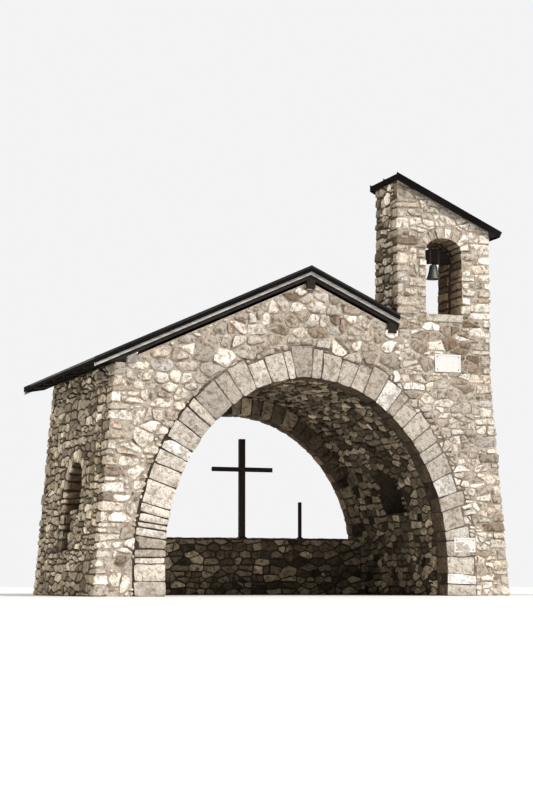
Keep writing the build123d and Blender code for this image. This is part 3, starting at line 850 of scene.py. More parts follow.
# a block given by its eight corners, with worn edges
def blockStone(heap, corners, look, reveal=None):
    offset = Vector([heap.draw.uniform(0, 90) for _ in range(3)])
    corners = [Vector(corner) for corner in corners]
    ways = [corners[1 << axis] - corners[0] for axis in range(3)]
    soften = [min(0.3, look["arris"] / max(way.length / 2, 0.01)) for way in ways]
    points = []
    for key in blockKeys:
        edges = [n in blockEnds for n in key]
        worn = sum(edges) - 1
        where = [blockSteps[n] * (1 - soft * 0.5 * worn if edge else 1)
                 for n, soft, edge in zip(key, soften, edges)]
        shares = [(1 - (w + 1) / 2, (w + 1) / 2) for w in where]
        point = Vector((0, 0, 0))
        for corner, (a, b, c) in zip(corners, eightCorners(*shares)):
            point += corner * (a * b * c)
        if worn == 0:
            middle = 1 - max(abs(w) for w, edge in zip(where, edges) if not edge)
            axis = edges.index(True)
            outward = ways[axis].normalized() * (1 if where[axis] > 0 else -1)
            point += outward * look["bulge"] * min(1.0, middle * 1.6)
        for waves, share in blockNoise:
            point += noise.noise_vector(point * waves + offset) * look["rough"] * share
        points.append(tuple(point))
    heap.addStone(points, blockFaces, reveal)


fade = {"start": 0.002, "length": 0.025}


# 1 on a face of the wall and 0 from a few centimetres inside an opening on, where the painted shade of the reveals
# sets in
def fadeInside(depth):
    return min(1.0, max(0.0, 1.0 - (depth - fade["start"]) / fade["length"]))


# point and outward direction on an ellipse
def ellipsePoint(span, rise, angle):
    c, s = math.cos(angle), math.sin(angle)
    size = math.hypot(c / span, s / rise)
    return span * c, rise * s, c / span / size, s / rise / size


# a half ellipse on straight legs, by the length from the left foot
class ArchLine:
    def __init__(self, span, rise, spring, steps=240):
        self.samples = [(-span, 0.0, -1.0, 0.0), (-span, spring, -1.0, 0.0)]
        for i in range(1, steps + 1):
            x, z, nx, nz = ellipsePoint(span, rise, math.pi * (1 - i / steps))
            self.samples.append((x, spring + z, nx, nz))
        self.samples.append((span, 0.0, 1.0, 0.0))
        self.lengths = [0.0]
        for a, b in zip(self.samples, self.samples[1:]):
            self.lengths.append(self.lengths[-1] + math.hypot(b[0] - a[0], b[1] - a[1]))
        self.total = self.lengths[-1]

    # point and outward direction there
    def at(self, length):
        length = min(max(length, 0.0), self.total)
        low = min(bisect.bisect_right(self.lengths, length), len(self.lengths) - 1) - 1
        share = (length - self.lengths[low]) / (self.lengths[low + 1] - self.lengths[low] or 1.0)
        x, z, nx, nz = [a + (b - a) * share for a, b in zip(self.samples[low], self.samples[low + 1])]
        size = math.hypot(nx, nz) or 1.0
        return x, z, nx / size, nz / size


def outsideArch(x, z, span, rise, spring, margin):
    if z <= spring:
        return abs(x) >= span + margin
    return (x / (span + margin)) ** 2 + ((z - spring) / (rise + margin)) ** 2 >= 1


vaultLine = ArchLine(*chapel["vaultArch"])
backLine = ArchLine(*chapel["backArch"])

rubbleLook = {"joint": (0.008, 0.034), "shortest": 0.012, "corner": 0.24, "cut": (0.006, 0.022), "spacing": 0.05,
              "waver": 0.008, "height": (0.008, 0.034), "steep": 0.22, "smallest": 0.0012, "most": 0.048,
              "rings": ((0.0, -1.0), (0.0, 0.62), (0.1, 0.92), (0.36, 1.0), (0.7, 1.0))}
gableLook = dict(rubbleLook, joint=(0.012, 0.046), corner=0.36, cut=(0.012, 0.065),      # rounded field stones
                 height=(0.014, 0.05), steep=0.26, most=0.06)
deepLook = dict(rubbleLook, joint=(0.014, 0.04), height=(0.016, 0.048), most=0.058)
vaultLook = dict(rubbleLook, joint=(0.012, 0.036), height=(0.012, 0.045), spacing=0.07,
                 rings=((0.0, -1.0), (0.0, 0.7), (0.1, 0.95), (0.5, 1.0)))
thresholdLook = dict(vaultLook, height=(0.01, 0.018), steep=0.02, most=0.02)
rubbleCourse = {"rise": (0.065, 0.17), "run": (0.11, 0.4), "missing": 0.1, "pins": 0.2, "squeeze": 0.55,
                "drift": 0.27, "split": 0.25, "smallest": 0.0016}
gableCourse = dict(rubbleCourse, rise=(0.1, 0.25), run=(0.15, 0.46), missing=0.06, pins=0.22, squeeze=0.7,
                   drift=0.3, split=0.12)
sideCourse = dict(rubbleCourse, rise=(0.05, 0.18), run=(0.14, 0.52), missing=0.12, pins=0.28, squeeze=0.42,
                  split=0.3)
vaultCourse = dict(rubbleCourse, rise=(0.07, 0.14), run=(0.14, 0.36), missing=0.08, pins=0.08, squeeze=0.6,
                   drift=0.2, split=0.1, smallest=0.0022)
thresholdCourse = {"rise": (0.2, 0.3), "run": (0.3, 0.6), "missing": 0.05, "pins": 0.05, "squeeze": 0.7,
                   "drift": 0.1, "split": 0.1, "smallest": 0.004}
ringLook = {"arris": 0.01, "bulge": 0.005, "rough": 0.016}
cornerLook = {"arris": 0.02, "bulge": 0.006, "rough": 0.02}


# leftLeg lists the stones of the left leg from the foot up, thin slabs between long blocks
frontRing = {"leftLeg": (0.22, 0.26, 0.1, 0.11, 0.15, 0.12, 0.09, 0.1, 0.13, 0.33, 0.25, 0.2, 0.17, 0.25, 0.22,
                         0.14, 0.36),
             "crownStone": (0.09, 0.29), "rightStone": (0.12, 0.32), "rightTop": 2.2, "joint": 0.007,
             "legReach": (0.46, 0.475), "reach": (0.33, 0.495), "lean": 0.045, "depth": (0.28, 0.4),
             "proud": 0.016,
             "patches": [((-2.4, 1.5), 1.3, 0.6, 0.49, 0.7), ((-2.2, 2.13), 0.1, 1.0, 0.985, 0.95),
                         ((0.55, 3.5), 0.5, 0.6, 0.24, 0.8), ((2.5, 1.5), 1.2, 0.5, 0.22, 0.55),
                         ((-2.6, 0.55), 0.25, 0.5, 0.75, 0.7)]}
backRing = {"leftLeg": (), "crownStone": (0.12, 0.24), "rightStone": (0.12, 0.24), "rightTop": 2.2, "joint": 0.014,
            "reach": (0.29, 0.36), "lean": 0.02, "depth": (0.22, 0.24), "proud": 0.014, "patches": ()}


arch = {
    "shortest": 0.07,
    "end": 0.02,
    "evenLeft": -0.9,        # the leg's stones reach evenly to the left of this and lean less
    "evenLean": 0.4,
    "levelBelow": 0.3,       # the lowest stones don't lean
    "proudSpread": (0.5, 1.15),
}


# lays an arch; front is the face's y and inward the way into the wall; gives back the outlines on the face
def archStones(name, finish, seed, line, ring, front, inward, reveal):
    heap = StoneHeap(seed, ring["patches"])
    draw, gap = heap.draw, ring["joint"] / 2
    outlines = []
    length = lean = 0.0
    while length < line.total - arch["end"]:
        x, z = line.at(length)[:2]
        if len(outlines) < len(ring["leftLeg"]):
            wide = ring["leftLeg"][len(outlines)]
        else:
            wide = draw.uniform(*ring["rightStone" if x > 0 and z < ring["rightTop"] else "crownStone"])
        if line.total - length - wide < arch["shortest"]:
            wide = line.total - length
        even = "legReach" in ring and x < arch["evenLeft"]
        reach = draw.uniform(*ring["legReach" if even else "reach"])
        level = length + wide > line.total - arch["end"] or z < arch["levelBelow"]
        nextLean = 0.0 if level else draw.uniform(-1, 1) * ring["lean"]
        nextLean *= arch["evenLean"] if even else 1.0
        depth = draw.uniform(*ring["depth"]) * inward
        proud = ring["proud"] * draw.uniform(*arch["proudSpread"])
        ends = []
        for place, shift, tip in ((length, gap, lean), (length + wide, -gap, nextLean)):
            x, z, nx, nz = line.at(place)
            ends.append(((x - nx * proud + nz * shift, z - nz * proud - nx * shift),
                         (x + nx * reach + nz * (shift + tip), z + nz * reach - nx * (shift + tip))))
        (nearLow, farLow), (nearHigh, farHigh) = ends
        blockStone(heap, [(x, y, z) for y in (front - proud * inward, front + depth)
                          for x, z in (nearLow, nearHigh, farLow, farHigh)], ringLook, reveal)
        outlines.append(counterClockwise([nearLow, nearHigh, farHigh, farLow]))
        length += wide
        lean = nextLean
    heap.build(name, finish)
    return outlines


# every stone of the front ring counts as inside the opening, so its faces turned from the front take painted shade
frontBlocks = archStones("frontRingStones", "ringStone", 11, vaultLine, frontRing, frontY, 1, lambda p: 0.0)
backBlocks = archStones("backRingStones", "sideStone", 12, backLine, backRing, backY, -1,
                        lambda p: fadeInside(backY - p[1]))
archStones("backRingInnerStones", "vaultStone", 13, backLine, backRing, innerBack, 1,
           lambda p: fadeInside(p[1] - innerBack))

quoin = {"rise": (0.07, 0.2), "long": (0.2, 0.42), "short": (0.1, 0.22), "joint": 0.016, "proud": 0.02,
         "tilt": 0.022, "slant": (0.84, 1.0), "turn": 0.75, "ceilingGap": 0.06, "proudSpread": (0.5, 1.1),
         "end": 0.05, "lowest": 0.1}


# stands blocks up a corner; corner(z) is its place, signX and signY point along its two faces;
# gives back the outlines on the face along x and on the one along y
def cornerColumn(heap, corner, signX, signY, low, high, ceiling=None):
    draw, gap = heap.draw, quoin["joint"] / 2
    z = low
    flip = draw.random() < 0.5
    under = (0.0, 0.0)
    faces = [], []
    while z < high - quoin["end"]:
        rise = draw.uniform(*quoin["rise"])
        if high - z - rise < quoin["lowest"]:
            rise = high - z
        over = (draw.uniform(-1, 1) * quoin["tilt"], draw.uniform(-1, 1) * quoin["tilt"])
        if high - z - rise < quoin["end"]:
            over = (0.0, 0.0)
        longer, shorter = draw.uniform(*quoin["long"]), draw.uniform(*quoin["short"])
        reachX, reachY = (longer, shorter) if flip else (shorter, longer)
        while ceiling and reachX > 0.1 and ceiling(corner(z)[0] + signX * reachX) < z + quoin["ceilingGap"]:
            reachX -= 0.02
        flip = not flip if draw.random() < quoin["turn"] else flip
        proud = quoin["proud"] * draw.uniform(*quoin["proudSpread"])
        slant = [draw.uniform(*quoin["slant"]) for _ in range(4)]
        corners = []
        for level, tilt, cutX, cutY in ((z + gap, under, *slant[:2]), (z + rise - gap, over, *slant[2:])):
            cx, cy = corner(level)
            for v in (-proud, reachY * cutY):
                for u in (-proud, reachX * cutX):
                    lift = (tilt[0] if u > 0 else 0.0) + (tilt[1] if v > 0 else 0.0)
                    x = cx + signX * u
                    top = min(level + lift, ceiling(x)) if ceiling else level + lift
                    corners.append((x, cy + signY * v, top))
        blockStone(heap, corners, cornerLook)
        for axis, reach, sign in ((0, reachX, signX), (1, reachY, signY)):
            outline = [(0.0, z), (reach * slant[axis], z + under[axis]),
                       (reach * slant[axis + 2], z + rise + over[axis]), (0.0, z + rise)]
            faces[axis].append(counterClockwise([(corner(v)[axis] + sign * away, v) for away, v in outline]))
        under = over
        z += rise
    return faces


palePatches = [((-3.2, 1.6), 1.8, 0.35, 0.82, 0.7), ((1.6, 5.4), 1.1, 0.4, 0.17, 0.55),
               ((3.0, 5.0), 0.9, 0.45, 0.8, 0.7)]
cornerHeap = StoneHeap(21, palePatches)
shadeHeap = StoneHeap(22)
roofBeside = roofTop(bellX)
rightTop = bellWallSlope(halfWidth)
underBellRoof = lambda x: bellWallSlope(x) - 0.015
bellCorner = (roofBeside + 0.04, bellTop - 0.03, underBellRoof)
leftFront = cornerColumn(cornerHeap, lambda z: (-wallFace(z), frontY), 1, 1, 0.0, wallTop)
rightFront = cornerColumn(cornerHeap, lambda z: (wallFace(z), frontY), -1, 1, 0.0, rightTop - 0.03)
leftBack = cornerColumn(shadeHeap, lambda z: (-wallFace(z), backY), 1, -1, 0.0, wallTop)
rightBack = cornerColumn(shadeHeap, lambda z: (wallFace(z), backY), -1, -1, 0.0, wallTop)
bellLeft = cornerColumn(cornerHeap, lambda z: (bellX, frontY), 1, 1, *bellCorner)
bellBackLeft = cornerColumn(shadeHeap, lambda z: (bellX, bellWallBack(z)), 1, -1, *bellCorner)
bellBackRight = cornerColumn(shadeHeap, lambda z: (halfWidth, bellWallBack(z)), -1, -1, wallTop + 0.3,
                             rightTop - 0.02)
cornerHeap.build("frontCornerStones", "frontStone")
shadeHeap.build("backCornerStones", "sideStone")

bellOpening = {"rise": (0.07, 0.19), "reach": (0.1, 0.3), "depth": (0.36, 0.42), "joint": 0.016, "proud": 0.016,
               "proudSpread": (0.5, 1.1), "end": 0.04, "lowest": 0.08, "headStones": 8, "headReach": 0.2,
               "headSpread": (0.7, 1.15), "headJoint": 0.02}
windowOpening = dict(bellOpening, rise=(0.07, 0.18), reach=(0.1, 0.28), depth=(0.34, 0.4), joint=0.018,
                     proud=0.018, headStones=10)


# blocks up both sides of an opening and a fan of them over it; face(u, out, z) gives the point,
# out is how far into the wall
def surround(heap, face, middle, half, low, spring, headRise, look, reveal):
    draw, gap, count = heap.draw, look["joint"] / 2, look["headStones"]
    outlines = []
    for side in (-1, 1):
        z = low
        while z < spring - look["end"]:
            rise = draw.uniform(*look["rise"])
            if spring - z - rise < look["lowest"]:
                rise = spring - z
            reach, depth = draw.uniform(*look["reach"]), draw.uniform(*look["depth"])
            proud = look["proud"] * draw.uniform(*look["proudSpread"])
            lowU, highU = sorted((middle + side * (half - proud), middle + side * (half + reach)))
            corners = eightCorners((lowU, highU), (-proud, depth), (z + gap, z + rise - gap))
            blockStone(heap, [face(*corner) for corner in corners], cornerLook, reveal)
            outlines.append(rectangle(lowU, z, highU, z + rise))
            z += rise
    for i in range(count):
        proud = look["proud"] * draw.uniform(*look["proudSpread"])
        depth = draw.uniform(*look["depth"])
        out = look["headReach"] * draw.uniform(*look["headSpread"])
        rows = []
        for angle in (math.pi * (1 - i / count) - look["headJoint"],
                      math.pi * (1 - (i + 1) / count) + look["headJoint"]):
            x, z, nx, nz = ellipsePoint(half, headRise, angle)
            rows.append(((middle + x - nx * proud, spring + z - nz * proud),
                         (middle + x + nx * out, spring + z + nz * out)))
        corners = [face(row[end][0], into, row[end][1]) for end in (0, 1) for into in (-proud, depth)
                   for row in rows]
        blockStone(heap, corners, cornerLook, reveal)
        outlines.append(counterClockwise([rows[0][0], rows[1][0], rows[1][1], rows[0][1]]))
    return outlines


bellHeap = StoneHeap(31, palePatches)
bellSize = (openingX, openingHalf, chapel["openingSill"], chapel["openingSpring"], chapel["openingRise"],
            bellOpening)
# the front stones of the bell opening count as inside it too, so their turned faces take painted shade
bellSurround = surround(bellHeap, lambda u, out, z: (u, frontY + out, z), *bellSize, lambda p: 0.0)
bellBackSurround = surround(bellHeap, lambda u, out, z: (u, bellWallBack(z) - out, z), *bellSize,
                            lambda p: fadeInside(bellWallBack(p[2]) - p[1]))
bellHeap.build("bellOpeningStones", "frontStone")

windowHeap = StoneHeap(41)
windowSize = (windowY, windowHalf, chapel["infillFoot"], chapel["windowSpring"], windowHalf, windowOpening)
windowFade = lambda p: fadeInside(wallFace(p[2]) - abs(p[0]))
leftWindow = surround(windowHeap, lambda u, out, z: (-wallFace(z) + out, u, z), *windowSize, windowFade)
rightWindow = surround(windowHeap, lambda u, out, z: (wallFace(z) - out, u, z), *windowSize, windowFade)
windowHeap.build("windowSurroundStones", "sideStone")
print("arches, corners and surrounds are laid")


# rubble on a field from low to high, where belongs(u, v), within half planes and clear of blocks
def layRubble(heap, low, high, course, seed, belongs, lines, blocks, place, look=rubbleLook):
    trim = trimmer(lines, blocks)
    laid = rubbleCells(low, high, course, seed, belongs, trim)
    for cell in laid + pinCells(laid, low, high, seed, belongs, trim):
        faceStone(heap, cell, place, look)


# half planes that keep an outline inside a box
def between(lowU=None, highU=None, lowV=None, highV=None):
    planes = ((lowU, 0, -1, 0), (highU, 0, 1, 0), (0, lowV, 0, -1), (0, highV, 0, 1))
    return [plane for plane in planes if None not in plane]


# half plane through a point of the edge, by its outward direction
def leaning(px, py, nx, ny):
    size = math.hypot(nx, ny)
    return (px, py, nx / size, ny / size)


def faceOutline(node):
    low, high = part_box(node)
    return rectangle(low.x, low.z, high.x, high.z)


def mirrorOutline(outline):
    return counterClockwise([(-x, z) for x, z in outline])


flareSlope = chapel["footFlare"] / wallTop
flareSize = math.hypot(1, flareSlope)
roofSlot = 0.22                                    # the wall ends this far under the top of the roof
wallRoof = chapel["ridge"] - roofSlot
sill, threshold = faceOutline("bell_gable_sill"), chapel["threshold"]
leftLean, rightLean = leaning(-wallFace(0), 0, -1, flareSlope), leaning(wallFace(0), 0, 1, flareSlope)
leftRoof, rightRoof = leaning(0, wallRoof, -slope, 1), leaning(0, wallRoof, slope, 1)
bellRoof = leaning(bellX, bellTop - 0.01, slope, 1)
frontStones = frontBlocks + leftFront[0] + rightFront[0] + bellLeft[0] + bellSurround \
    + [faceOutline("upper_plaque"), faceOutline("lower_plaque"), sill]
frontPatches = [
    ((0.3, 4.4), 1.4, 0.2, 0.53, 0.5),         # grey boulders of the gable
    ((0.5, 4.3), 1.3, 0.07, 0.99, 0.3),
    ((2.85, 3.55), 0.42, 0.65, 0.97, 0.35),    # brown stones beside the upper slab
    ((2.72, 4.15), 0.5, 0.65, 0.98, 0.25),     # under the bell
    ((2.1, 4.05), 0.45, 0.5, 0.5, 0.3),
    ((2.8, 1.3), 0.75, 0.3, 0.82, 0.6),        # pale ones low on the right
    ((2.85, 2.5), 0.9, 0.4, 0.17, 0.45),       # greyer ones over them
    ((-2.9, 0.9), 0.9, 0.45, 0.82, 0.8),       # and on the left pier
    ((-2.75, 2.5), 1.0, 0.5, 0.34, 0.8),
    ((2.3, 5.9), 0.9, 0.2, 0.34, 0.7),         # the bell's wall is pale too
]


def outsideFrontRing(x, z):
    return outsideArch(x, z, *chapel["vaultArch"], 0.3)


def outsideBackRing(x, z):
    return outsideArch(x, z, *chapel["backArch"], 0.2)


def underRoof(x, z):
    return abs(x) < wallFace(z) and 0 < z < roofTop(x) - roofSlot


def insideOpening(x, z):
    across = abs(x - openingX) / (openingHalf + 0.01)
    if across >= 1 or z < chapel["openingSill"] - 0.1:
        return False
    return z < chapel["openingSpring"] + (chapel["openingRise"] + 0.02) * math.sqrt(1 - across ** 2)


def clearOfWindow(u, v):
    if abs(u - windowY) < windowHalf and chapel["infillFoot"] < v < chapel["windowSpring"]:
        return False
    return math.hypot(u - windowY, v - chapel["windowSpring"]) > windowHalf


def frontPlace(u, v, h):
    return (u, frontY - h, v)


frontRubble = StoneHeap(51, frontPatches)
layRubble(frontRubble, (-3.5, 0.0), (bellX, 5.1), gableCourse, 510,
          lambda x, z: x < bellX and outsideFrontRing(x, z) and underRoof(x, z),
          [leftLean, leftRoof, rightRoof, *between(lowV=0.0)], frontStones, frontPlace, gableLook)
layRubble(frontRubble, (bellX, 0.0), (3.5, wallTop), rubbleCourse, 510,
          lambda x, z: x >= bellX and outsideFrontRing(x, z) and x < wallFace(z) and 0 < z < wallTop,
          [rightLean, *between(lowV=0.0)], frontStones, frontPlace)
layRubble(frontRubble, (bellX, wallTop), (halfWidth, 6.6), rubbleCourse, 511,
          lambda x, z: bellX < x < halfWidth and wallTop < z < bellWallSlope(x) and not insideOpening(x, z),
          [*between(bellX, halfWidth), bellRoof, *between(lowV=wallTop)], frontStones, frontPlace)
frontRubble.build("frontRubbleStones", "frontStone")

# side walls, u runs along y; the walled-up part under each window lies deeper
windowLow, windowHigh = (windowY - windowHalf, chapel["infillFoot"]), (windowY + windowHalf, chapel["windowSill"])
for side, sign, seed, stones in (("left", -1, 61, leftWindow + leftFront[1] + leftBack[1]),
                                 ("right", 1, 62, rightWindow + rightFront[1] + rightBack[1])):
    heap = StoneHeap(seed)
    layRubble(heap, (frontY, 0.0), (backY, wallTop), sideCourse, seed * 10,
              lambda u, v: frontY < u < backY and 0 < v < wallTop and clearOfWindow(u, v),
              between(frontY, backY, 0.0, wallTop - 0.005), stones,
              lambda u, v, h: (sign * (wallFace(v) + h / flareSize), u, v + h * flareSlope / flareSize), deepLook)
    layRubble(heap, windowLow, windowHigh, rubbleCourse, seed * 10 + 20,
              lambda u, v: abs(u - windowY) < windowHalf and windowLow[1] < v < windowHigh[1],
              between(windowLow[0], windowHigh[0], windowLow[1], windowHigh[1]), (),
              lambda u, v, h: (sign * (wallFace(v) - chapel["infillDepth"] + h), u, v), deepLook)
    heap.build(side + "WallStones", "sideStone")


# back wall; u runs along -x so that the outline keeps its turn
def backPlace(u, v, h):
    return (-u, backY + h, v)


backHalf = chapel["backArch"][0]
backInside = (-backHalf + 0.02, backHalf - 0.02)
thresholdFace = (0.0, threshold - 0.01)
onThreshold = lambda x, z: abs(x) < backHalf - 0.03 and 0 < z < threshold
backRubble = StoneHeap(71)
layRubble(backRubble, (-3.5, 0.0), (3.5, 5.1), rubbleCourse, 710,
          lambda x, z: outsideBackRing(x, z) and underRoof(x, z) and (z < wallTop or abs(x) < 2.8),
          [leftLean, rightLean, leftRoof, rightRoof, *between(lowV=0.0)],
          [mirrorOutline(o) for o in backBlocks + leftBack[0] + rightBack[0]], backPlace, deepLook)
layRubble(backRubble, (-backHalf, 0.0), (backHalf, threshold), rubbleCourse, 720, onThreshold,
          between(*backInside, *thresholdFace), (), backPlace, deepLook)
backRubble.build("backRubbleStones", "sideStone")

# left, right and back faces of the bell gable
backEdge = leaning(innerFront, chapel["bellWallFoot"], 1,
                   chapel["bellWallThin"] / (bellTop - chapel["bellWallFoot"]))
bellSides = StoneHeap(81)
layRubble(bellSides, (frontY, roofBeside), (innerFront, 6.6), rubbleCourse, 810,
          lambda u, v: frontY < u < bellWallBack(v) and roofBeside + 0.03 < v < bellTop,
          [*between(frontY), backEdge, *between(lowV=roofBeside + 0.03, highV=bellTop - 0.01)],
          bellLeft[1] + bellBackLeft[1], lambda u, v, h: (bellX - h, u, v), deepLook)
layRubble(bellSides, (frontY, wallTop), (innerFront, 6.0), rubbleCourse, 820,
          lambda u, v: frontY < u < bellWallBack(v) and wallTop < v < rightTop,
          [*between(frontY), backEdge, *between(lowV=wallTop, highV=rightTop - 0.045)],
          [o for o in rightFront[1] if o[0][1] > wallTop - 0.3] + bellBackRight[1],
          lambda u, v, h: (halfWidth + h, u, v), deepLook)
layRubble(bellSides, (-halfWidth, 3.6), (-bellX, 6.6), rubbleCourse, 830,
          lambda x, z: bellX < -x < halfWidth and roofTop(-x) + 0.03 < z < bellWallSlope(-x)
          and not insideOpening(-x, z),
          [*between(highU=-bellX), *between(-halfWidth), leaning(-bellX, bellTop - 0.01, -slope, 1),
           leaning(0, chapel["ridge"] + 0.03, slope, -1)],
          [mirrorOutline(o) for o in bellBackSurround + bellBackLeft[0] + bellBackRight[0] + [sill]],
          lambda u, v, h: (-u, bellWallBack(v) + h, v), deepLook)
bellSides.build("bellGableSideStones", "bellSideStone")


# the vault from underneath; u runs back along y and v along the arch
def vaultPlace(u, v, h):
    x, z, nx, nz = vaultLine.at(v)
    return (x - nx * h, u, z - nz * h)


def clearOfWindowInside(u, v):
    z = vaultLine.at(v)[1]
    return clearOfWindow(u, z) or z < chapel["windowSill"] - 0.02 or z > chapel["windowSpring"] + windowHalf


vaultRubble = StoneHeap(91)
layRubble(vaultRubble, (frontY + 0.3, 0.0), (innerBack, vaultLine.total), vaultCourse, 910,
          lambda u, v: frontY + 0.3 < u < innerBack and 0 < v < vaultLine.total and clearOfWindowInside(u, v),
          between(frontY + 0.36, innerBack - 0.005, 0.0, vaultLine.total), (), vaultPlace, vaultLook)
layRubble(vaultRubble, (-backHalf, 0.0), (backHalf, threshold), vaultCourse, 920, onThreshold,
          between(*backInside, *thresholdFace), (), lambda u, v, h: (u, innerBack - h, v), vaultLook)
layRubble(vaultRubble, (-backHalf, innerBack), (backHalf, backY), thresholdCourse, 930,
          lambda x, y: abs(x) < backHalf - 0.03 and innerBack < y < backY,
          between(*backInside, innerBack - 0.01, backY + 0.01), (),
          lambda u, v, h: (u, v, threshold + min(h, 0.02)), thresholdLook)
vaultRubble.build("vaultStones", "vaultStone")
print("rubble is laid")


workLook = {"toneSpread": 0.35, "boltHead": 0.75, "washer": ((1.7, -0.002), (1.7, 0.0025), (1.5, 0.003)),
            "washerSides": 20}


# collects bars, plates and turned pieces that become one mesh
class Workshop:
    def __init__(self, seed):
        self.mesh = bmesh.new()
        self.tone = self.mesh.verts.layers.float_color.new("pieceTone")
        self.draw = random.Random(seed)

    # eight corners, x fastest, then y, then z
    def addBar(self, corners, soften):
        tone = self.draw.uniform(-workLook["toneSpread"], workLook["toneSpread"])
        points = [self.mesh.verts.new(corner) for corner in corners]
        faces = [self.mesh.faces.new([points[i] for i in ring]) for ring in
                 ((0, 2, 3, 1), (4, 5, 7, 6), (0, 1, 5, 4), (2, 6, 7, 3), (0, 4, 6, 2), (1, 3, 7, 5))]
        for point in points:
            point[self.tone] = (tone, tone, tone, 1)
        edges = list(dict.fromkeys(edge for face in faces for edge in face.edges))
        made = bmesh.ops.bevel(self.mesh, geom=edges, offset=soften, segments=1, affect="EDGES",
                               clamp_overlap=True)
        for point in made["verts"]:
            point[self.tone] = (tone, tone, tone, 1)

    def addBox(self, low, high, soften):
        self.addBar(eightCorners(*zip(low, high)), soften)

    # a bar that follows a roof line, its top and underside given as drops under that line
    def addSloping(self, line, start, end, near, far, topDrop, lowDrop, soften):
        corners = eightCorners((start, end), (near, far), (lowDrop, topDrop))
        self.addBar([(x, y, line(x) - drop) for x, y, drop in corners], soften)

    # profile is (radius, along) from one end to the other, or a closed loop
    def addTurned(self, centre, axis, profile, sides, closed=False):
        axis = Vector(axis).normalized()
        side = axis.orthogonal().normalized()
        other = axis.cross(side)
        turns = [side * math.cos(2 * math.pi * i / sides) + other * math.sin(2 * math.pi * i / sides)
                 for i in range(sides)]
        rings = [[self.mesh.verts.new(Vector(centre) + axis * along + turn * radius) for turn in turns]
                 for radius, along in profile]
        for first, second in zip(rings, rings[1:] + (rings[:1] if closed else [])):
            for (a, b), (c, d) in zip(pairsRound(first), pairsRound(second)):
                self.mesh.faces.new((a, b, d, c))
        if not closed:
            self.mesh.faces.new(rings[0])
            self.mesh.faces.new(rings[-1])

    def addBolt(self, centre, axis, radius):
        head = radius * workLook["boltHead"]
        washer = [(radius * share, along) for share, along in workLook["washer"]]
        self.addTurned(centre, axis, washer, workLook["washerSides"])
        self.addTurned(centre, axis, [(radius, 0.002), (radius, head), (radius * 0.8, head * 1.25)], 6)

    def build(self, name, finish, slot, body="chapel", sharp=0):
        bmesh.ops.recalc_face_normals(self.mesh, faces=self.mesh.faces)
        self.mesh.verts.index_update()
        ordered = sorted(self.mesh.faces, key=lambda face: [vert.index for vert in face.verts])
        ranks = {face: rank for rank, face in enumerate(ordered)}
        self.mesh.faces.sort(key=ranks.get)          # every run gives the faces in the same order
        mesh = bpy.data.meshes.new(name)
        self.mesh.to_mesh(mesh)
        self.mesh.free()
        return mountPiece(name, mesh, finish, body, sharp)


roof = {
    "vergeFront": cadBox[0][1],
    "vergeBack": cadBox[1][1],
    "half": cadBox[1][0],
    "sheet": 0.0066,          # thickness measured plumb
    "boardTop": 0.0071,
    "boardUnder": 0.0396,
    "boardEnds": 0.055,       # from the verge to the ends of the boards
    "plank": (0.13, 0.19),
    "plankGap": 0.004,
    "plankEdge": 0.003,
    "endJoint": (0.3, 0.7),   # where the two lengths of a row meet
    "bellPlanks": 7,
    "drip": 0.06,             # turned-down edge of the sheet
    "dripThick": 0.007,
    "eaveThick": 0.006,
    "sheetEdge": 0.0015,
}


# widths of planks are drawn so that a joint falls on each of the stops
def plankEdges(draw, start, stops):
    edges = [start]
    for stop in stops:
        first, span, run = edges[-1], stop - edges[-1], 0.0
        count = max(1, round(span / (sum(roof["plank"]) / 2)))
        widths = [draw.uniform(*roof["plank"]) for _ in range(count)]
        for width in widths:
            run += width * span / sum(widths)
            edges.append(first + run)
    return edges


eave, gapHalf = roof["half"] - roof["eaveThick"], roof["plankGap"] / 2
for side, sign, stops in (("left", -1, [eave]), ("right", 1, [bellX, eave])):
    planks = Workshop(200 + sign)
    edges = plankEdges(planks.draw, 0.002, stops)
    for low, high in zip(edges, edges[1:]):
        near = innerFront if sign > 0 and low > bellX - 0.01 else roof["vergeFront"] + roof["boardEnds"]
        far = roof["vergeBack"] - roof["boardEnds"]
        joint = near + (far - near) * planks.draw.uniform(*roof["endJoint"])
        under = roof["boardUnder"] - planks.draw.uniform(0.0, 0.003)
        for a, b in ((near, joint - gapHalf), (joint + gapHalf, far)):
            planks.addSloping(roofTop, sign * (low + gapHalf), sign * (high - gapHalf), a, b, roof["boardTop"],
                              under, roof["plankEdge"])
    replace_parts(planks.build(side + "Planks", "roofTimberAlongY", "grey_timber"), side + "_boards")

boardsLow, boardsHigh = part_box("bell_roof_boards")
bellPlanks = Workshop(210)
across = (boardsHigh.y - boardsLow.y) / roof["bellPlanks"]
for i in range(roof["bellPlanks"]):
    near = boardsLow.y + i * across
    bellPlanks.addSloping(bellWallSlope, boardsLow.x, boardsHigh.x - 0.022, near + gapHalf,
                          near + across - gapHalf, -0.053, -bellPlanks.draw.uniform(0.0, 0.003),
                          roof["plankEdge"])
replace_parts(bellPlanks.build("bellRoofPlanks", "roofTimberAlongX", "grey_timber"), "bell_roof_boards")

# edges of the sheets turned down over the boards
trims = Workshop(220)
backDrip, sheet = roof["vergeBack"] - roof["dripThick"], roof["sheet"]
for end, near in ((-roof["half"], roof["vergeFront"]), (bellX - 0.003, roof["vergeFront"]),
                  (-roof["half"], backDrip), (roof["half"], backDrip)):
    trims.addSloping(roofTop, 0.0, end, near, near + roof["dripThick"], sheet, sheet + roof["drip"],
                     roof["sheetEdge"])
eaveTop = roofTop(roof["half"]) - sheet
for x, near in ((-roof["half"], roof["vergeFront"]), (eave, innerFront)):
    trims.addBox((x, near, eaveTop - roof["drip"] * 0.8), (x + roof["eaveThick"], roof["vergeBack"], eaveTop),
                 roof["sheetEdge"])

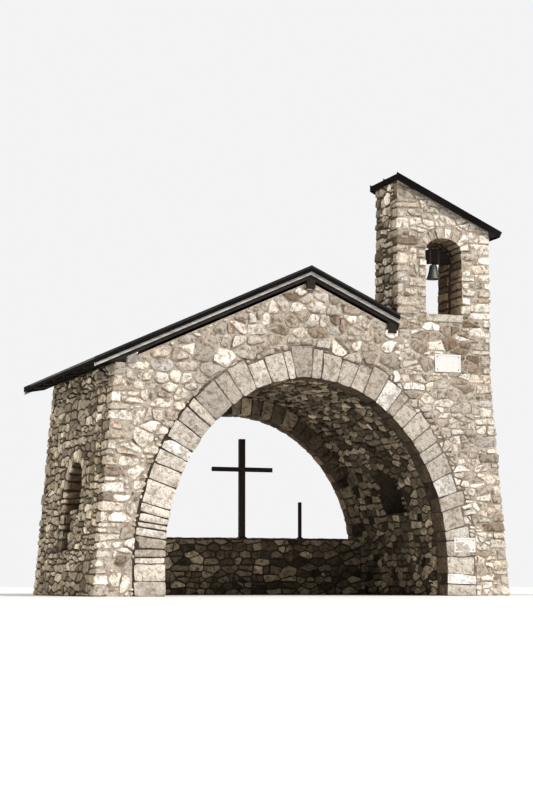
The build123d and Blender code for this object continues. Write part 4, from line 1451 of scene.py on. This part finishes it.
# strip of sheet where the right slope meets the bell gable, and the mortar over it
flashing = {"out": 0.058, "high": 0.115, "flange": 0.12, "thick": 0.003, "edge": 0.001, "fromEave": 0.03}
out, high, thick, flange, edge = [flashing[key] for key in ("out", "high", "thick", "flange", "edge")]
x, y, near, end = bellX - out, innerFront + out, frontY - 0.01, roof["half"] - flashing["fromEave"]
trims.addBox((x, near, roofTop(x)), (x + thick, y, roofTop(x) + high), edge)
trims.addSloping(roofTop, x - flange, x, near, y, -thick, 0.0, edge)
trims.addSloping(roofTop, x, end, y - thick, y, -high, 0.0, edge)
trims.addSloping(roofTop, x, end, y, y + flange, -thick, 0.0, edge)

fillet = {"below": -0.03, "lip": -0.004, "above": 0.05, "in": 0.02, "edge": 0.006}
below, lip, above = fillet["below"], fillet["lip"], fillet["above"]
fillets = Workshop(230)
top = roofTop(x) + high
fillets.addBar([(px, py, top + lift) for lifts in ((below, below), (lip, above)) for py in (frontY, innerFront)
                for px, lift in zip((x + 0.004, bellX + 0.01), lifts)], fillet["edge"])
fillets.addBar([(px, py, roofTop(px) + high + lift) for lifts in ((below, below), (above, lip))
                for py, lift in zip((innerFront - fillet["in"], y - 0.004), lifts)
                for px in (bellX - fillet["in"], halfWidth + 0.03)], fillet["edge"])
trims.build("sheetTrims", "blackSheet", "roof_sheet")
fillets.build("flashingMortar", "sideMortar", "rubble_stone")

# the bell's mouldings and the straps on its headstock
axle = Vector(frame["joints"][0]["pos_m"])
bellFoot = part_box("bell")[0].z
stockLow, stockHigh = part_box("headstock")
bellFit = {"radius": 0.112, "high": 0.235, "strapX": 0.075, "strapWide": 0.03, "strapThick": 0.004,
           "strapEdge": 0.0015, "stockArch": 0.284, "stockRise": 0.15, "stockSide": 0.042, "bolt": 0.0085,
           "clapperBolt": 0.006,
           # height over the lip and radius of the outer face, then height and thickness of the beads, as shares
           "face": [(0.0, 1.0), (0.2, 0.86), (0.55, 0.66), (0.86, 0.56)],
           "beads": [(0.03, 0.0042), (0.1, 0.003), (0.155, 0.003), (0.58, 0.0024), (0.7, 0.003), (0.76, 0.003),
                     (0.85, 0.0036)]}


def bellRadius(share):
    for (a, first), (b, second) in zip(bellFit["face"], bellFit["face"][1:]):
        if share <= b:
            return bellFit["radius"] * (first + (second - first) * (share - a) / (b - a))


def headstockTop(x):
    return axle.z + bellFit["stockSide"] + bellFit["stockRise"] * math.sqrt(
        max(0.0, 1 - ((x - axle.x) / bellFit["stockArch"]) ** 2))


mouldings = Workshop(240)
for share, bead in bellFit["beads"]:
    r = bellRadius(share)
    loop = [(r + bead * math.cos(a * math.pi / 4), bead * math.sin(a * math.pi / 4)) for a in range(8)]
    mouldings.addTurned((axle.x, axle.y, bellFoot + bellFit["high"] * share), (0, 0, 1), loop, 40, True)
mouldings.build("bellMouldings", "bellBronze", "bell_bronze", "bell", 40)

straps = Workshop(250)
thick, edge, bolt = bellFit["strapThick"], bellFit["strapEdge"], bellFit["bolt"]
near, far, foot = stockLow.y - thick, stockHigh.y + thick, stockLow.z - thick
for sign in (-1, 1):
    x = axle.x + sign * bellFit["strapX"]
    a, b = x - bellFit["strapWide"] / 2, x + bellFit["strapWide"] / 2
    top = max(headstockTop(a), headstockTop(b)) + 0.001
    straps.addBox((a, near, foot), (b, stockLow.y + 0.001, top + thick), edge)
    straps.addBox((a, stockHigh.y - 0.001, foot), (b, far, top + thick), edge)
    straps.addBox((a, near, top), (b, far, top + thick), edge)
    straps.addBox((a, near, foot), (b, far, stockLow.z + 0.0005), edge)
    for z in (stockLow.z + 0.026, axle.z + 0.05, top - 0.03):
        straps.addBolt((x, near, z), (0, -1, 0), bolt)
        straps.addBolt((x, far, z), (0, 1, 0), bolt)
straps.addBolt((axle.x, axle.y - 0.012, stockLow.z - 0.008), (0, -1, 0), bellFit["clapperBolt"])
straps.build("headstockStraps", "rustyIron", "iron", "bell", 30)

fittings = {"bearingBolt": 0.0055, "bearingSpread": 0.026, "crossBolt": 0.008,
            "crossBolts": ((-0.02, 0.014), (0.02, -0.014)), "collarFoot": 0.035, "collarTop": 0.008,
            "collarHigh": 0.03, "collarEdge": 0.004, "pinFromEdge": 0.04,
            "pinShape": [(0.009, 0.0), (0.009, 0.003), (0.006, 0.0055)]}
bearingBolts = Workshop(260)
spread = (-fittings["bearingSpread"], fittings["bearingSpread"])
for sign, node in ((-1, "bearing_left"), (1, "bearing_right")):
    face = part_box(node)[0 if sign > 0 else 1].x
    for dy, dz in itertools.product(spread, spread):
        bearingBolts.addBolt((face, axle.y + dy, axle.z + dz), (-sign, 0, 0), fittings["bearingBolt"])
bearingBolts.build("bearingBolts", "rustyIron", "iron", "chapel", 30)

# mortar round the feet of both posts, and bolts of the cross
collars = Workshop(271)
for node in ("cross_post", "slim_post"):
    low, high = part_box(node)
    levels = ((low.z, fittings["collarFoot"]), (low.z + fittings["collarHigh"], fittings["collarTop"]))
    collars.addBar([(x, y, z) for z, grow in levels for y in (low.y - grow, high.y + grow)
                    for x in (low.x - grow, high.x + grow)], fittings["collarEdge"])
collars.build("postCollars", "vaultMortar", "rubble_stone")
crossFittings = Workshop(270)
low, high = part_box("cross_arm")
for dx, dz in fittings["crossBolts"]:
    crossFittings.addBolt(((low.x + high.x) / 2 + dx, low.y, (low.z + high.z) / 2 + dz), (0, -1, 0),
                          fittings["crossBolt"])
crossFittings.build("crossFittings", "rustyIron", "iron", "chapel", 30)

plaquePins = Workshop(280)
inset = fittings["pinFromEdge"]
for node in ("upper_plaque", "lower_plaque"):
    low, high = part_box(node)
    for x, z in itertools.product((low.x + inset, high.x - inset), (low.z + inset, high.z - inset)):
        plaquePins.addTurned((x, low.y + 0.005, z), (0, -1, 0), fittings["pinShape"], 12)
plaquePins.build("plaquePins", "rustyIron", "iron", "chapel", 30)
print("joinery and ironwork are made")

# finishes of the carried-over solids
nodeFinishes = {
    "roofTimberAlongY": ["ridge_purlin", "left_mid_purlin", "right_mid_purlin", "right_wall_plate"],
    # the left wall plate takes the lit copy of the timber: painted light
    "paleTimber": ["left_wall_plate"],
    "roofTimberAlongX": ["left_rafters", "right_rafters"],
    "darkTimber": ["headstock"],
    "paleBoard": ["front_bargeboard_left", "front_bargeboard_right", "back_bargeboard_left", "back_bargeboard_right"],
    "crossWood": ["cross_post", "slim_post"],
    "crossArmWood": ["cross_arm"],
    "darkSheet": ["left_sheet", "right_sheet", "ridge_cap"],
    "blackSheet": ["bell_roof_sheet"],
    "rustyIron": ["bearing_left", "bearing_right", "clapper"],
    "bellBronze": ["bell"],
    "paleSlab": ["upper_plaque", "lower_plaque"],
    "ringMortar": ["front_arch_ring"],
    "frontMortar": ["front_pier_left", "front_pier_right", "front_gable_wall", "bell_gable_base",
                    "bell_gable_jamb_left", "bell_gable_jamb_right", "bell_gable_head"],
    "sillSlab": ["bell_gable_sill"],
    "sideMortar": ["back_arch_ring", "back_pier_left", "back_pier_right", "back_gable_wall", "back_threshold",
                   "left_wall_front", "left_wall_back", "left_wall_breast", "left_wall_head", "right_wall_front",
                   "right_wall_back", "right_wall_breast", "right_wall_head"],
    "vaultMortar": ["vault_crown"],
}
for finish, nodeNames in nodeFinishes.items():
    for nodeName in nodeNames:
        materials = frame["nodes"][nodeName].data.materials
        materials.clear()
        materials.append(finishes[finish])
